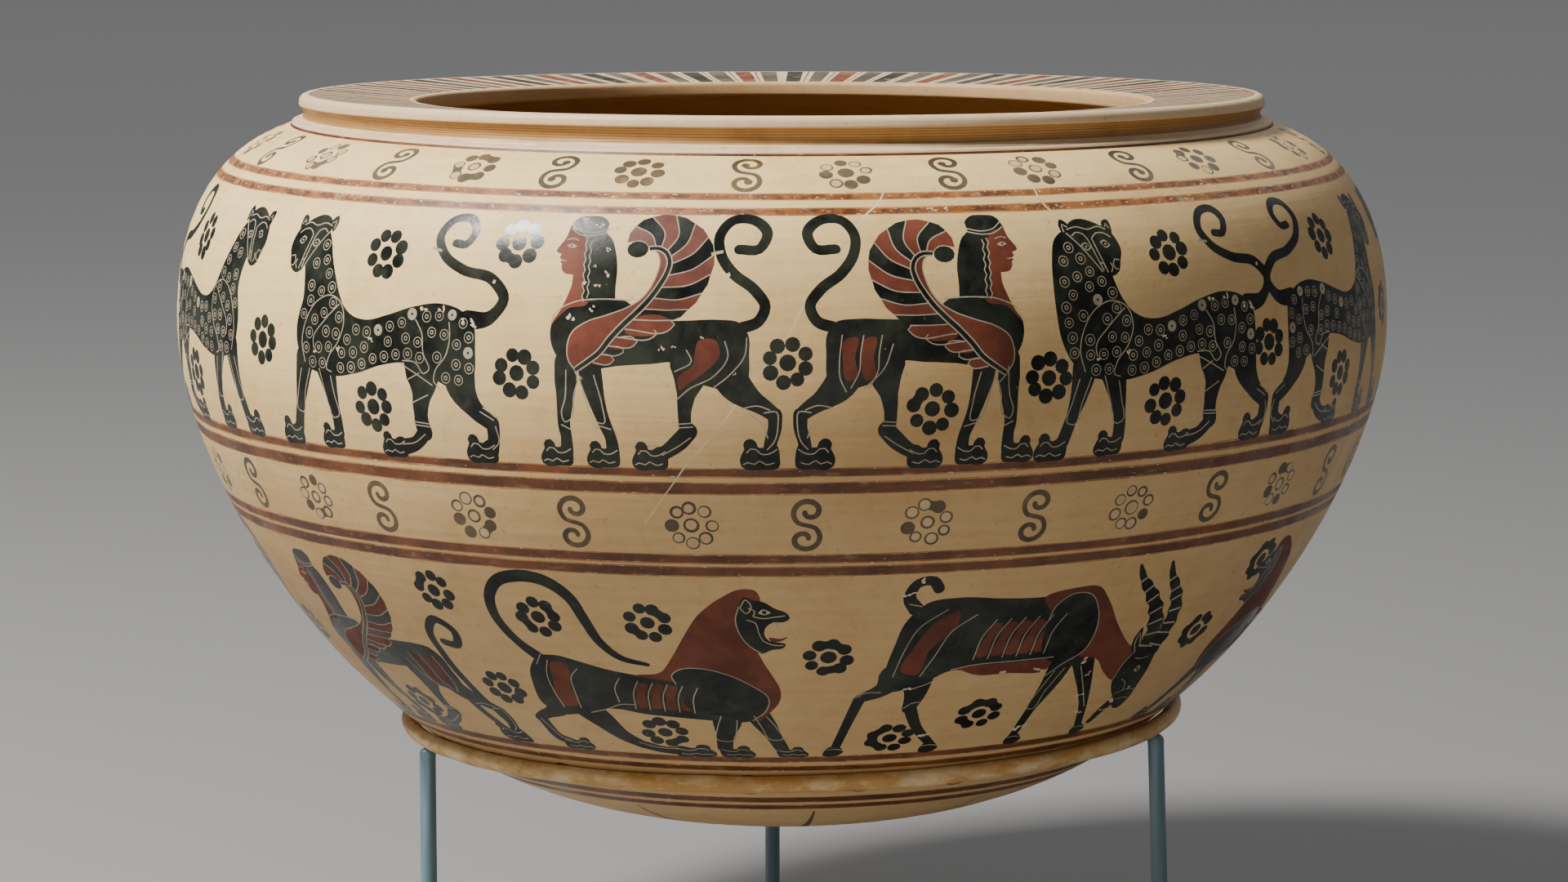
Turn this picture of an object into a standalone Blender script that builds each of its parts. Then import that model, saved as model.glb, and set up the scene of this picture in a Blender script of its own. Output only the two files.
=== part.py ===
"""A round-bottomed clay mixing bowl (a dinos) resting in a ring stand with three rod legs.

Metres, +Z up, standing on Z = 0. The bowl's front, the side that is seen, faces -Y.
The bowl is one turned shell: a broad flat lip, a low shoulder, a wide belly and a round
base with no foot. It rests loosely in a thin ring, which three thin legs carry.
"""

from collections.abc import Sequence
from math import cos, pi, radians, sin, tan

import bpy
from mathutils import Matrix, Vector

Point = tuple[float, float]

# Bowl, measured as radii and as drops below the crest of the lip
BELLY_RADIUS = 0.1500
BELLY_DROP = 0.0556
BOWL_HEIGHT = 0.1804
WALL = 0.0060
COLLAR_RADIUS = 0.1180
COLLAR_DROP = 0.0064
LIP_OVERHANG = 0.0014
LIP_ROUND = 0.0018
LIP_WIDTH = 0.0290
LIP_DISH = 0.0017
MOUTH_ROUND = 0.0010
FLANK_RADIUS = 0.1049
FLANK_RISE = 0.0360
BASE_CLEARANCE = 0.0520

# Slopes of the turned outline, and how far each bend reaches along it
SHOULDER_SLOPE = radians(13.0)
FLANK_SLOPE = radians(43.2)
SHOULDER_REACH = 0.0152
BELLY_REACH_UP = 0.0351
BELLY_REACH_DOWN = 0.0266
FLANK_REACH_UP = 0.0337
FLANK_REACH_DOWN = 0.0231
BASE_REACH = 0.0667

# The thrown lip isn't level: its front edge stands a little high
LIP_TILT = radians(0.7)

# Stand
RING_RADIUS = 0.0963
RING_ROD_RADIUS = 0.0018
RING_TILT = radians(1.1)
SEAT_GAP = 0.0003
JOINT_GAP = 0.0003
LEG_RADIUS = 0.0020
FOOT_RADIUS = 0.0080
FOOT_THICKNESS = 0.0030
LEGS = {
    "stand_leg_right": {"azimuth": radians(-22.0), "lean": radians(2.0)},
    "stand_leg_left": {"azimuth": radians(-158.0), "lean": 0.0},
    "stand_leg_back": {"azimuth": radians(93.0), "lean": 0.0},
}

# Fineness of the round shapes
BOWL_STEPS = 72
RING_STEPS = 72
RING_SIDES = 12
LEG_STEPS = 20

CREST_HEIGHT = BASE_CLEARANCE + BOWL_HEIGHT


def bezier(a: Vector, b: Vector, c: Vector, d: Vector, count: int) -> list[Vector]:
    """Points along a cubic curve, both ends included."""
    points = []
    for step in range(count + 1):
        t = step / count
        s = 1.0 - t
        points.append(a * s**3 + b * (3 * s * s * t) + c * (3 * s * t * t) + d * t**3)
    return points


def outer_line(shoulder: int, belly: int, base: int) -> list[Vector]:
    """The bowl's outer outline from the collar down to the pole, as (radius, height).

    Args:
        shoulder: steps from the collar to the belly.
        belly: steps from the belly to the flank.
        base: steps from the flank to the pole.
    """
    collar = Vector((COLLAR_RADIUS, CREST_HEIGHT - COLLAR_DROP))
    widest = Vector((BELLY_RADIUS, CREST_HEIGHT - BELLY_DROP))
    flank = Vector((FLANK_RADIUS, BASE_CLEARANCE + FLANK_RISE))
    pole = Vector((0.0, BASE_CLEARANCE))
    out = Vector((cos(SHOULDER_SLOPE), -sin(SHOULDER_SLOPE)))
    up_flank = Vector((cos(FLANK_SLOPE), sin(FLANK_SLOPE)))
    up = Vector((0.0, 1.0))
    first = bezier(collar, collar + out * SHOULDER_REACH, widest + up * BELLY_REACH_UP, widest, shoulder)
    second = bezier(widest, widest - up * BELLY_REACH_DOWN, flank + up_flank * FLANK_REACH_UP, flank, belly)
    third = bezier(flank, flank - up_flank * FLANK_REACH_DOWN, pole + Vector((BASE_REACH, 0.0)), pole, base)
    return first[:-1] + second[:-1] + third


def outward(line: Sequence[Vector], index: int) -> Vector:
    """The outline's unit normal at one of its points, pointing away from the clay."""
    before = line[max(index - 1, 0)]
    after = line[min(index + 1, len(line) - 1)]
    along = (after - before).normalized()
    return Vector((-along.y, along.x))


def inner_line(line: Sequence[Vector]) -> list[Vector]:
    """The cavity's outline, one wall inside the outer one, from the pole up to the lip."""
    shifted = [point - outward(line, index) * WALL for index, point in enumerate(line)]
    shifted[-1] = Vector((0.0, line[-1].y + WALL))
    return shifted[::-1]


def lip_line() -> list[Vector]:
    """The lip from the mouth's lower edge, over the flat and round the crest, to the collar."""
    lip_radius = COLLAR_RADIUS + LIP_OVERHANG
    mouth = lip_radius - LIP_WIDTH
    under_shoulder = CREST_HEIGHT - COLLAR_DROP - WALL / cos(SHOULDER_SLOPE)
    underside = under_shoulder + (COLLAR_RADIUS - mouth) * tan(SHOULDER_SLOPE)
    top = CREST_HEIGHT - LIP_DISH
    points = [Vector((mouth, underside)), Vector((mouth, top - MOUTH_ROUND))]
    for angle in (0.25 * pi, 0.5 * pi):
        points.append(Vector((mouth + MOUTH_ROUND * (1 - cos(angle)), top - MOUTH_ROUND * (1 - sin(angle)))))
    for angle in (0.5 * pi, 0.33 * pi, 0.17 * pi, 0.0):
        points.append(
            Vector(
                (
                    lip_radius - LIP_ROUND * (1 - cos(angle)),
                    CREST_HEIGHT - LIP_ROUND * (1 - sin(angle)),
                )
            )
        )
    neck = Vector((COLLAR_RADIUS + 0.3 * LIP_OVERHANG, CREST_HEIGHT - 0.5 * (LIP_ROUND + COLLAR_DROP)))
    return points + [neck]


def turned(name: str, line: Sequence[Vector], steps: int) -> bpy.types.Object:
    """A closed mesh object made by turning an outline about Z."""
    profile = bpy.data.meshes.new(name + "_profile")
    corners = [(point.x, 0.0, point.y) for point in line]
    profile.from_pydata(corners, [(i, i + 1) for i in range(len(corners) - 1)], [])
    blank = bpy.data.objects.new(name + "_blank", profile)
    bpy.context.scene.collection.objects.link(blank)
    screw = blank.modifiers.new("turn", "SCREW")
    screw.steps = steps
    screw.render_steps = steps
    screw.use_merge_vertices = True
    screw.merge_threshold = 0.00001
    bpy.context.view_layer.update()
    graph = bpy.context.evaluated_depsgraph_get()
    mesh = bpy.data.meshes.new_from_object(blank.evaluated_get(graph))
    mesh.name = name
    bpy.data.objects.remove(blank)
    bpy.data.meshes.remove(profile)
    return bpy.data.objects.new(name, mesh)


def finish(
    piece: bpy.types.Object,
    group: bpy.types.Collection,
    colour: tuple[float, float, float],
    roughness: float,
    metallic: float,
) -> None:
    """Put a piece in the collection, smooth it and give it its material."""
    material = bpy.data.materials.new(piece.name)
    material.use_nodes = True
    shader = material.node_tree.nodes["Principled BSDF"]
    shader.inputs["Base Color"].default_value = (*colour, 1.0)
    shader.inputs["Roughness"].default_value = roughness
    shader.inputs["Metallic"].default_value = metallic
    piece.data.materials.clear()
    piece.data.materials.append(material)
    piece.data.shade_smooth()
    piece.data.set_sharp_from_angle(angle=radians(40.0))
    group.objects.link(piece)


def tilt_lip(mesh: bpy.types.Mesh) -> None:
    """Lean the lip, whose front stands high, and leave the shoulder below it alone."""
    lip_base = CREST_HEIGHT - COLLAR_DROP
    lip_side = CREST_HEIGHT - LIP_ROUND - LIP_DISH
    for vertex in mesh.vertices:
        inside_lip = Vector(vertex.co.xy).length < COLLAR_RADIUS + LIP_OVERHANG + 0.0001
        share = (vertex.co.z - lip_base) / (lip_side - lip_base)
        if inside_lip and share > 0.0:
            vertex.co.z -= vertex.co.y * tan(LIP_TILT) * min(share, 1.0)


def make_bowl(group: bpy.types.Collection) -> None:
    """The hollow bowl, from the cavity's pole over the lip to the outer pole."""
    line = inner_line(outer_line(shoulder=4, belly=6, base=5))
    line += lip_line()
    line += outer_line(shoulder=7, belly=9, base=8)
    bowl = turned("bowl", line, BOWL_STEPS)
    tilt_lip(bowl.data)
    finish(bowl, group, (0.72, 0.58, 0.39), 0.45, 0.0)


def seat_depth() -> float:
    """The height at which the ring's rod touches the bowl all round."""
    line = outer_line(shoulder=20, belly=60, base=60)
    reach = RING_ROD_RADIUS + SEAT_GAP
    spots = [point + outward(line, index) * reach for index, point in enumerate(line)]
    low = [spot for spot in spots if spot.y < CREST_HEIGHT - BELLY_DROP]
    for upper, lower in zip(low, low[1:]):
        if upper.x >= RING_RADIUS > lower.x:
            share = (upper.x - RING_RADIUS) / (upper.x - lower.x)
            return upper.y + (lower.y - upper.y) * share
    return low[-1].y


def curve_centre() -> float:
    """The height on the axis about which the flank is round, so that the ring can rock there."""
    flank_height = BASE_CLEARANCE + FLANK_RISE
    return flank_height + FLANK_RADIUS / tan(FLANK_SLOPE)


def ring_place() -> Matrix:
    """Where the ring lies: rocked a little about the flank's centre, still touching all round."""
    pivot = Vector((0.0, 0.0, curve_centre()))
    down = Vector((0.0, 0.0, seat_depth() - pivot.z))
    return Matrix.Translation(pivot) @ Matrix.Rotation(-RING_TILT, 4, "Y") @ Matrix.Translation(down)


def make_ring(group: bpy.types.Collection) -> None:
    """The round rod bent into a ring."""
    bpy.ops.mesh.primitive_torus_add(
        major_radius=RING_RADIUS,
        minor_radius=RING_ROD_RADIUS,
        major_segments=RING_STEPS,
        minor_segments=RING_SIDES,
    )
    made = bpy.context.object
    ring = bpy.data.objects.new("stand_ring", made.data)
    bpy.data.objects.remove(made)
    ring.matrix_world = ring_place()
    finish(ring, group, (0.55, 0.38, 0.16), 0.45, 0.0)


def make_leg(group: bpy.types.Collection, name: str, azimuth: float, lean: float) -> None:
    """A straight rod with a small round foot, its top under the ring's rod.

    Args:
        azimuth: where the leg stands round the ring, from +X.
        lean: how far its foot stands out, as an angle from the vertical, towards +X.
    """
    on_ring = ring_place() @ Vector((RING_RADIUS * cos(azimuth), RING_RADIUS * sin(azimuth), 0.0))
    top = on_ring.z - RING_ROD_RADIUS - JOINT_GAP
    line = [
        Vector((0.0, top)),
        Vector((LEG_RADIUS, top)),
        Vector((LEG_RADIUS, FOOT_THICKNESS)),
        Vector((FOOT_RADIUS, FOOT_THICKNESS)),
        Vector((FOOT_RADIUS, 0.0)),
        Vector((0.0, 0.0)),
    ]
    leg = turned(name, line, LEG_STEPS)
    shear = Matrix.Identity(4)
    shear[0][2] = -tan(lean)
    leg.data.transform(shear)
    leg.location = (on_ring.x + top * tan(lean), on_ring.y, 0.0)
    finish(leg, group, (0.10, 0.17, 0.22), 0.35, 0.0)


def main() -> None:
    """Clear the scene and model the object."""
    for old in list(bpy.data.objects):
        bpy.data.objects.remove(old)
    group = bpy.data.collections.new("dinos")
    bpy.context.scene.collection.children.link(group)
    make_bowl(group)
    make_ring(group)
    for name, place in LEGS.items():
        make_leg(group, name, place["azimuth"], place["lean"])


main()
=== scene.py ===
"""A painted clay mixing bowl resting in a ring stand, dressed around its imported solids.

The bowl is one turned shell. Its painting lies flush in the clay: every animal, rosette,
scroll, line and incised stroke is a region of the bowl's own surface with its own finish.
Drawings are made in millimetres, x towards the way an animal faces and y up from the line
that it stands on, and are then laid round the bowl.
"""

import logging
import random
from bisect import bisect_right
from collections.abc import Callable, Sequence
from dataclasses import dataclass, field
from enum import Enum
from math import atan2, cos, dist, hypot, inf, pi, radians, sin, tan, tau

import bmesh
import bpy
from mathutils import Matrix, Vector
from mathutils.geometry import delaunay_2d_cdt


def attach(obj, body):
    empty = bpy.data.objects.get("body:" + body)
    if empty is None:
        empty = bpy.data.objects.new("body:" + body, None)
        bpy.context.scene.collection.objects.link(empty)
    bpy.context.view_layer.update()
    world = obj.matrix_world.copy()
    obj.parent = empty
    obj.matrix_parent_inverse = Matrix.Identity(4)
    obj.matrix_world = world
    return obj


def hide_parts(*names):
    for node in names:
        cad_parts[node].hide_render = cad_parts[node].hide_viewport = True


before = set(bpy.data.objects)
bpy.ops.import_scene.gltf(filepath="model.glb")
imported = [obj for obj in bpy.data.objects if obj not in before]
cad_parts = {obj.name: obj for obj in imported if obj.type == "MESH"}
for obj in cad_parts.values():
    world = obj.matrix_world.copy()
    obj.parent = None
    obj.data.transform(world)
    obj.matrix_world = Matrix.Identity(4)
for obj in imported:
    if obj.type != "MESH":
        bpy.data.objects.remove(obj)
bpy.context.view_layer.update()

LOG = logging.getLogger("painted_bowl")
MM = 0.001

Spot = tuple[float, float]
Colour = tuple[float, float, float]
Socket = bpy.types.NodeSocket


class Ink(Enum):
    """Every finish on the bowl's surface, as (slot name, what it is laid over)."""

    CLAY = ("clay", 0)
    FRINGE = ("line_fringe", 1)
    LINE = ("line_brown", 2)
    AMBER = ("line_amber", 2)
    SLIP = ("thin_slip", 4)
    WORN = ("worn_ghost", 5)
    GLAZE = ("black_slip", 5)
    RED = ("added_red", 6)
    CUT = ("incision", 9)
    CHIP = ("bare_chip", 14)
    CRACK = ("mended_crack", 3)
    BAR_GREY = ("bar_grey", 5)
    BAR_DARK = ("bar_dark", 5)
    BAR_RED = ("bar_red", 5)
    INSIDE = ("inside_wash", 0)
    MOUTH = ("mouth_edge", 0)
    CREST = ("lip_crest", 0)
    LIP_FACE = ("lip_face", 0)
    LIP_GROOVE = ("lip_groove", 0)

    @property
    def layer(self) -> int:
        """How high the finish lies over the others."""
        return self.value[1]


INKS = list(Ink)


@dataclass(frozen=True)
class Patch:
    """One closed simple outline in one ink."""

    ink: Ink
    layer: int
    outline: tuple[Spot, ...]


def smooth(spots: Sequence[Spot], closed: bool, grain: float) -> list[Spot]:
    """A smooth curve through spots; a spot given twice running is a sharp corner.

    Args:
        spots: the points that it passes through.
        closed: whether the last point runs on to the first.
        grain: about how far apart the new points lie.

    Returns:
        The points of the curve.
    """
    count = len(spots)
    curve: list[Spot] = []
    for i in range(count if closed else count - 1):
        a, b = spots[i], spots[(i + 1) % count]
        span = dist(a, b)
        if span < 1e-6:
            continue
        before = spots[i - 1] if closed or i > 0 else a
        after = spots[(i + 2) % count] if closed or i + 2 < count else b
        lead, trail = dist(before, a), dist(b, after)
        start = end = (b[0] - a[0], b[1] - a[1])
        if lead > 1e-6:
            start = tuple(
                span * ((a[k] - before[k]) / lead - (b[k] - before[k]) / (lead + span) + (b[k] - a[k]) / span)
                for k in (0, 1)
            )
        if trail > 1e-6:
            end = tuple(
                span * ((b[k] - a[k]) / span - (after[k] - a[k]) / (span + trail) + (after[k] - b[k]) / trail)
                for k in (0, 1)
            )
        steps = max(1, round(span / grain))
        for step in range(steps):
            t = step / steps
            curve.append(
                tuple(
                    (2 * t**3 - 3 * t**2 + 1) * a[k]
                    + (t**3 - 2 * t**2 + t) * start[k]
                    + (3 * t**2 - 2 * t**3) * b[k]
                    + (t**3 - t**2) * end[k]
                    for k in (0, 1)
                )
            )
    if not closed:
        curve.append(spots[-1])
    return curve


def area(outline: Sequence[Spot]) -> float:
    """The signed area of a closed outline."""
    pairs = zip(outline, [*outline[1:], outline[0]])
    return 0.5 * sum(a[0] * b[1] - b[0] * a[1] for a, b in pairs)


def inside(spot: Spot, outline: Sequence[Spot]) -> bool:
    """Whether a closed outline winds round a spot.

    Args:
        spot: the spot.
        outline: the outline's points.

    Returns:
        True where it lies within.
    """
    x, y = spot
    winds = 0
    for a, b in zip(outline, [*outline[1:], outline[0]]):
        if (a[1] > y) != (b[1] > y) and x < a[0] + (y - a[1]) * (b[0] - a[0]) / (b[1] - a[1]):
            winds += 1 if b[1] > a[1] else -1
    return winds != 0


def side(a: Spot, b: Spot, c: Spot) -> float:
    """Which side of the line from a to b the spot c lies on."""
    return (b[0] - a[0]) * (c[1] - a[1]) - (b[1] - a[1]) * (c[0] - a[0])


def tangled(outline: Sequence[Spot]) -> bool:
    """Whether a closed outline runs over itself.

    Args:
        outline: its points.

    Returns:
        True where two of its sides cross.
    """
    runs = list(zip(outline, [*outline[1:], outline[0]]))
    for i, (a, b) in enumerate(runs):
        for c, d in runs[i + 2 : len(runs) - (i == 0)]:
            if side(a, b, c) * side(a, b, d) <= 0 and side(c, d, a) * side(c, d, b) <= 0:
                return True
    return False


def untangle(outline: Sequence[Spot]) -> list[tuple[Spot, ...]]:
    """Part an outline that runs over itself.

    Args:
        outline: its points.

    Returns:
        The outline alone, or the triangles that it winds round.
    """
    if not tangled(outline):
        return [tuple(outline)]
    count = len(outline)
    rim = [(k, (k + 1) % count) for k in range(count)]
    flat, _, faces, *_ = delaunay_2d_cdt([Vector(spot) for spot in outline], rim, [], 0, 1e-5)
    pieces = []
    for face in faces:
        corners = tuple((flat[i].x, flat[i].y) for i in face)
        middle = (sum(x for x, _ in corners) / 3, sum(y for _, y in corners) / 3)
        if inside(middle, outline):
            pieces.append(corners)
    return pieces


def clearance(spot: Spot, curve: Sequence[Spot]) -> float:
    """How far a spot lies from the nearest point of a curve."""
    return min(dist(spot, other) for other in curve)


@dataclass
class Sheet:
    """A drawing: a pile of patches, later ones over earlier ones by their layers."""

    grain: float = 1.0
    patches: list[Patch] = field(default_factory=list)

    def fill(self, ink: Ink, spots: Sequence[Spot], lift: int = 0, grain: float = 0.0) -> list[Spot]:
        """Brush a solid shape.

        Args:
            ink: its finish.
            spots: the outline's points.
            lift: how far over the ink's usual layer it lies.
            grain: the fineness of the outline, or nothing for the sheet's own.

        Returns:
            The smoothed outline.
        """
        outline = smooth(spots, True, grain or self.grain)
        self.cover(ink, outline, lift)
        return outline

    def cover(self, ink: Ink, outline: Sequence[Spot], lift: int = 0) -> None:
        """Cover just what an outline encloses.

        Args:
            ink: its finish.
            outline: the outline's points.
            lift: how far over the ink's usual layer it lies.
        """
        for piece in untangle(outline):
            self.patches.append(Patch(ink, ink.layer + lift, piece))

    def line(
        self, ink: Ink, widths: float | Sequence[float], spots: Sequence[Spot], lift: int = 0, blunt: bool = False
    ) -> list[Spot]:
        """Draw a stroke.

        Args:
            ink: its finish.
            widths: its width, or its widths in turn from the start to the end.
            spots: the points that it passes through.
            lift: how far over the ink's usual layer it lies.
            blunt: whether its ends are rounded off with a dot.

        Returns:
            The smoothed middle line.
        """
        middle = smooth(spots, False, self.grain)
        wide = [widths, widths] if isinstance(widths, (int, float)) else list(widths)
        last = len(middle) - 1
        rails = []
        for i, here in enumerate(middle):
            a, b = middle[max(i - 1, 0)], middle[min(i + 1, last)]
            run = dist(a, b) or 1.0
            place = i / last * (len(wide) - 1)
            low = min(int(place), len(wide) - 2)
            half = 0.5 * (wide[low] + (wide[low + 1] - wide[low]) * (place - low))
            across = (-(b[1] - a[1]) / run * half, (b[0] - a[0]) / run * half)
            rails.append(((here[0] + across[0], here[1] + across[1]), (here[0] - across[0], here[1] - across[1])))
        for (a, b), (c, d) in zip(rails, rails[1:]):
            self.patches.append(Patch(ink, ink.layer + lift, (a, b, d)))
            self.patches.append(Patch(ink, ink.layer + lift, (a, d, c)))
        if blunt:
            self.dot(ink, middle[0], 0.5 * wide[0], lift=lift)
            self.dot(ink, middle[-1], 0.5 * wide[-1], lift=lift)
        return middle

    def dot(self, ink: Ink, centre: Spot, size: float, tall: float = 1.0, lift: int = 0, corners: int = 0) -> None:
        """Touch in a round dot.

        Args:
            ink: its finish.
            centre: its middle.
            size: its half width.
            tall: its height against its width.
            lift: how far over the ink's usual layer it lies.
            corners: how many points it has, or nothing to go by its size.
        """
        count = corners or max(6, min(14, round(7 + 2.5 * size)))
        ring = [
            (centre[0] + size * cos(tau * k / count), centre[1] + size * tall * sin(tau * k / count))
            for k in range(count)
        ]
        self.patches.append(Patch(ink, ink.layer + lift, tuple(ring)))

    def add(self, other: "Sheet", move: Callable[[float, float], Spot]) -> None:
        """Lay another drawing on this one, each of its points moved."""
        for patch in other.patches:
            self.patches.append(Patch(patch.ink, patch.layer, tuple(move(x, y) for x, y in patch.outline)))


@dataclass
class Animal:
    """What the painted animals share: the stroke widths, the paws and the legs."""

    cut: float = 0.27
    worn: bool = False
    sheet: Sheet = field(default_factory=Sheet)

    def score(self, *spots: Spot, width: float = 0.0, lift: int = 0) -> None:
        """Incise one fine line through the slip."""
        self.sheet.line(Ink.CUT, width or self.cut, spots, lift=lift)

    def paw(self, heel: float, length: float, up: float = 0.0, tall: float = 1.0) -> None:
        """A paw with its raised round toe, standing on the line.

        Args:
            heel: where its heel stands.
            length: how far it reaches forwards.
            up: how high it stands.
            tall: its height against its usual one.
        """
        k = length / 7.0
        high = k * tall
        shape = [(-0.3, 0.0), (-0.6, 2.4), (0.1, 4.9), (1.8, 4.9), (2.9, 4.2), (3.7, 4.3), (4.0, 5.3), (4.9, 6.1),
                 (6.1, 5.9), (6.7, 4.9), (6.5, 3.9), (7.0, 3.0), (7.5, 1.8), (7.2, 0.1), (6.3, -0.5), (3.2, -0.5)]
        self.sheet.fill(Ink.GLAZE, [(heel + k * x, up + high * y) for x, y in shape], grain=0.8)
        toes = [(-0.1, 3.9), (1.6, 2.9), (3.2, 2.9), (4.2, 3.9), (5.3, 4.0), (6.1, 3.1)]
        self.score(*[(heel + k * x, up + high * y) for x, y in toes])
        pad = [(0.6, 1.0), (2.2, 0.6), (3.6, 1.4), (4.6, 0.7), (6.0, 1.1), (6.9, 0.6)]
        self.score(*[(heel + k * x, up + high * y) for x, y in pad])

    def apart(self, draw: Callable[[], object], move: Callable[[float, float], Spot]) -> object:
        """Draw a part on a sheet of its own and lay it on this one, each of its points moved.

        Args:
            draw: the method that draws the part.
            move: where a point of it goes.

        Returns:
            What the method returns.
        """
        page, self.sheet = self.sheet, Sheet()
        made = draw()
        page.add(self.sheet, move)
        self.sheet = page
        return made

    def chip(self, centre: Spot, size: float, tall: float = 1.0) -> None:
        """A place where the slip has come away from the clay, of no set shape.

        Args:
            centre: its middle.
            size: about its half width.
            tall: its height against its width.
        """
        dice = random.Random(round(100 * centre[0] + 7 * centre[1]))
        for _ in range(3):
            x, y = (centre[0] + size * dice.uniform(-0.9, 0.9), centre[1] + size * tall * dice.uniform(-0.7, 0.7))
            spots = []
            for k in range(7):
                reach = 0.62 * size * dice.uniform(0.3, 1.15)
                angle = tau * k / 7 + dice.uniform(-0.3, 0.3)
                spots.append((x + reach * cos(angle), y + reach * tall * sin(angle)))
            self.sheet.cover(Ink.CHIP, spots)

    def limb(self, widths: Sequence[float], *spots: Spot, lift: int = 0) -> None:
        """A leg, tail or horn, drawn with a loaded brush."""
        self.sheet.line(Ink.GLAZE, widths, spots, lift=lift, blunt=True)


@dataclass
class Panther(Animal):
    """A walking panther with its face turned out and ringed spots all over its coat."""

    spot_size: float = 1.25
    spot_gap: float = 3.4
    turned: bool = False

    def draw(self) -> Sheet:
        """Returns: the finished drawing."""
        page = self.sheet
        neck = [(4, 39.2), (6.4, 43.6), (8.4, 47.6), (10.6, 50), (16.6, 45.4), (15.6, 41), (14.6, 37),
                (14.4, 33.4), (15.3, 30.5), (15.9, 27.5), (15.2, 22.5), (12.4, 18.8)]
        if self.turned:
            neck = [(3.4, 39.2), (4.6, 44), (8, 49.6), (13, 52), (16.4, 50), (18.4, 45), (19.2, 39),
                    (19.2, 33), (18.4, 27), (16.2, 22.2), (12.6, 18.8)]
        coat = page.fill(
            Ink.GLAZE,
            [ (8, 17.4), (2, 17), (-5, 18.2), (-12.5, 20.5),
             (-20, 21.3), (-26, 19), (-33, 16.5), (-37.4, 18.5), (-38.2, 25.5), (-37.2, 31), (-33.6, 33.8),
             (-28, 35), (-21, 34), (-13.5, 31.7), (-7.5, 30.3), (-3, 30.9), (-0.2, 32.6), (1.8, 35.2), *neck],
        )
        self.limb((6.5, 4.6, 3, 3.2), (12.6, 20.4), (14.4, 13), (16.4, 6.6), (17.3, 3.6))
        self.paw(16.6, 7)
        self.limb((7.5, 5.2, 3.1, 3.2), (5.6, 20.4), (3.9, 13), (2.9, 6.8), (2.9, 3.6))
        self.paw(2.2, 6.4, 0.3)
        self.limb((10, 8.8, 5, 3.8, 4.2), (-24, 22), (-24.2, 17), (-23.2, 11), (-23.2, 7.6), (-23.6, 5.9))
        self.limb((3.6, 3.2, 4), (-23.8, 6), (-20.4, 3), (-16.6, 1.9))
        self.paw(-17.2, 6.4, -0.2)
        self.limb((9, 7.6, 4.6, 3.6), (-33.6, 22), (-35, 16), (-38.4, 11.4), (-41.6, 9))
        self.limb((3.4, 3, 3.2), (-42, 9), (-41.8, 5.6), (-40.9, 2.6))
        self.paw(-41.6, 7, 0.1)
        tail = [(-35.5, 31.6), (-41.2, 32.4), (-44.2, 36.6), (-40.6, 40.8), (-32.4, 42.8), (-26.4, 46.2),
                (-24, 50.4), (-26, 54.4), (-30.2, 54.9), (-32.8, 51.8), (-31.4, 48.6), (-28.6, 48.8)]
        self.limb((4.6, 2.7, 2.5, 2.3, 2.2, 2.2, 2.1, 1.9), *tail)
        face = self.head() if not self.turned else self.apart(self.head, lambda x, y: (22.6 - x, y + 1.2))
        if self.turned:
            face = [(22.6 - x, y + 1.2) for x, y in face]
        shoulder = [(12.6, 19.4), (13.8, 23.8), (12.6, 29), (9.2, 33.4), (4.6, 35), (1, 33.4), (-0.3, 29),
                    (1.4, 24.6), (4.4, 21), (5, 18.4), (3.4, 17.9)]
        blade = [(1.6, 33.2), (6, 29.4), (9.8, 24.6), (9.4, 22.6)]
        flank = [(-21.8, 31.2), (-23.8, 28.2), (-24.4, 23.8), (-26, 20.2), (-24.6, 19.3), (-22.4, 21.6), (-18.6, 21.9)]
        haunch = [(-31, 31), (-31.4, 27.4), (-30.4, 23.4), (-27.8, 20.2), (-27.4, 17.6), (-29.2, 16)]
        thigh = [(-17.6, 21.4), (-22, 19.4), (-27, 16.8)]
        self.score(*shoulder)
        self.score(*blade)
        self.score(*flank)
        self.score(*haunch)
        self.score(*thigh)
        self.score((-20.2, 17.8), (-23.4, 19.4))
        self.score((-21.2, 12.6), (-25.6, 14.6))
        self.score((11, 18.2), (13.2, 12.6), (15, 7.6), (16.4, 8), (15.6, 13), (14, 18))
        self.score((7.6, 18.4), (5.8, 12.4), (3.6, 7.2), (2.4, 7.6), (3, 13), (3.8, 17))
        for knee in ((-25.2, 7.9), (-25.2, 7.2)):
            self.score(knee, (knee[0] + 4.4, knee[1] + 0.3))
        for knee in ((-43.2, 10.6), (-42.4, 9.7)):
            self.score(knee, (knee[0] + 3.4, knee[1] + 1.9))
        self.score((-42.6, 8.4), (-42.9, 4.6), (-41, 2.8))
        self.score((-23.6, 5.4), (-20.2, 3.2), (-16.6, 2.6))
        lines = [smooth(part, False, 1) for part in (shoulder, blade, flank, haunch, thigh)]
        self.spots(coat, [spot for part in lines for spot in part], face)
        if self.worn:
            self.score((-23, 47.4), (-25.6, 46.8), width=0.6, lift=6)
            for spot, size in (((-40.6, 40.2), 0.7), ((-37, 31), 1.1), ((-34.6, 31.6), 0.8), ((-24, 33.6), 0.9),
                               ((-28.6, 33.9), 0.8), ((9.2, 22.4), 0.7), ((1, 23), 0.7), ((-9, 26), 0.6)):
                self.chip(spot, size)
        return page

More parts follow.
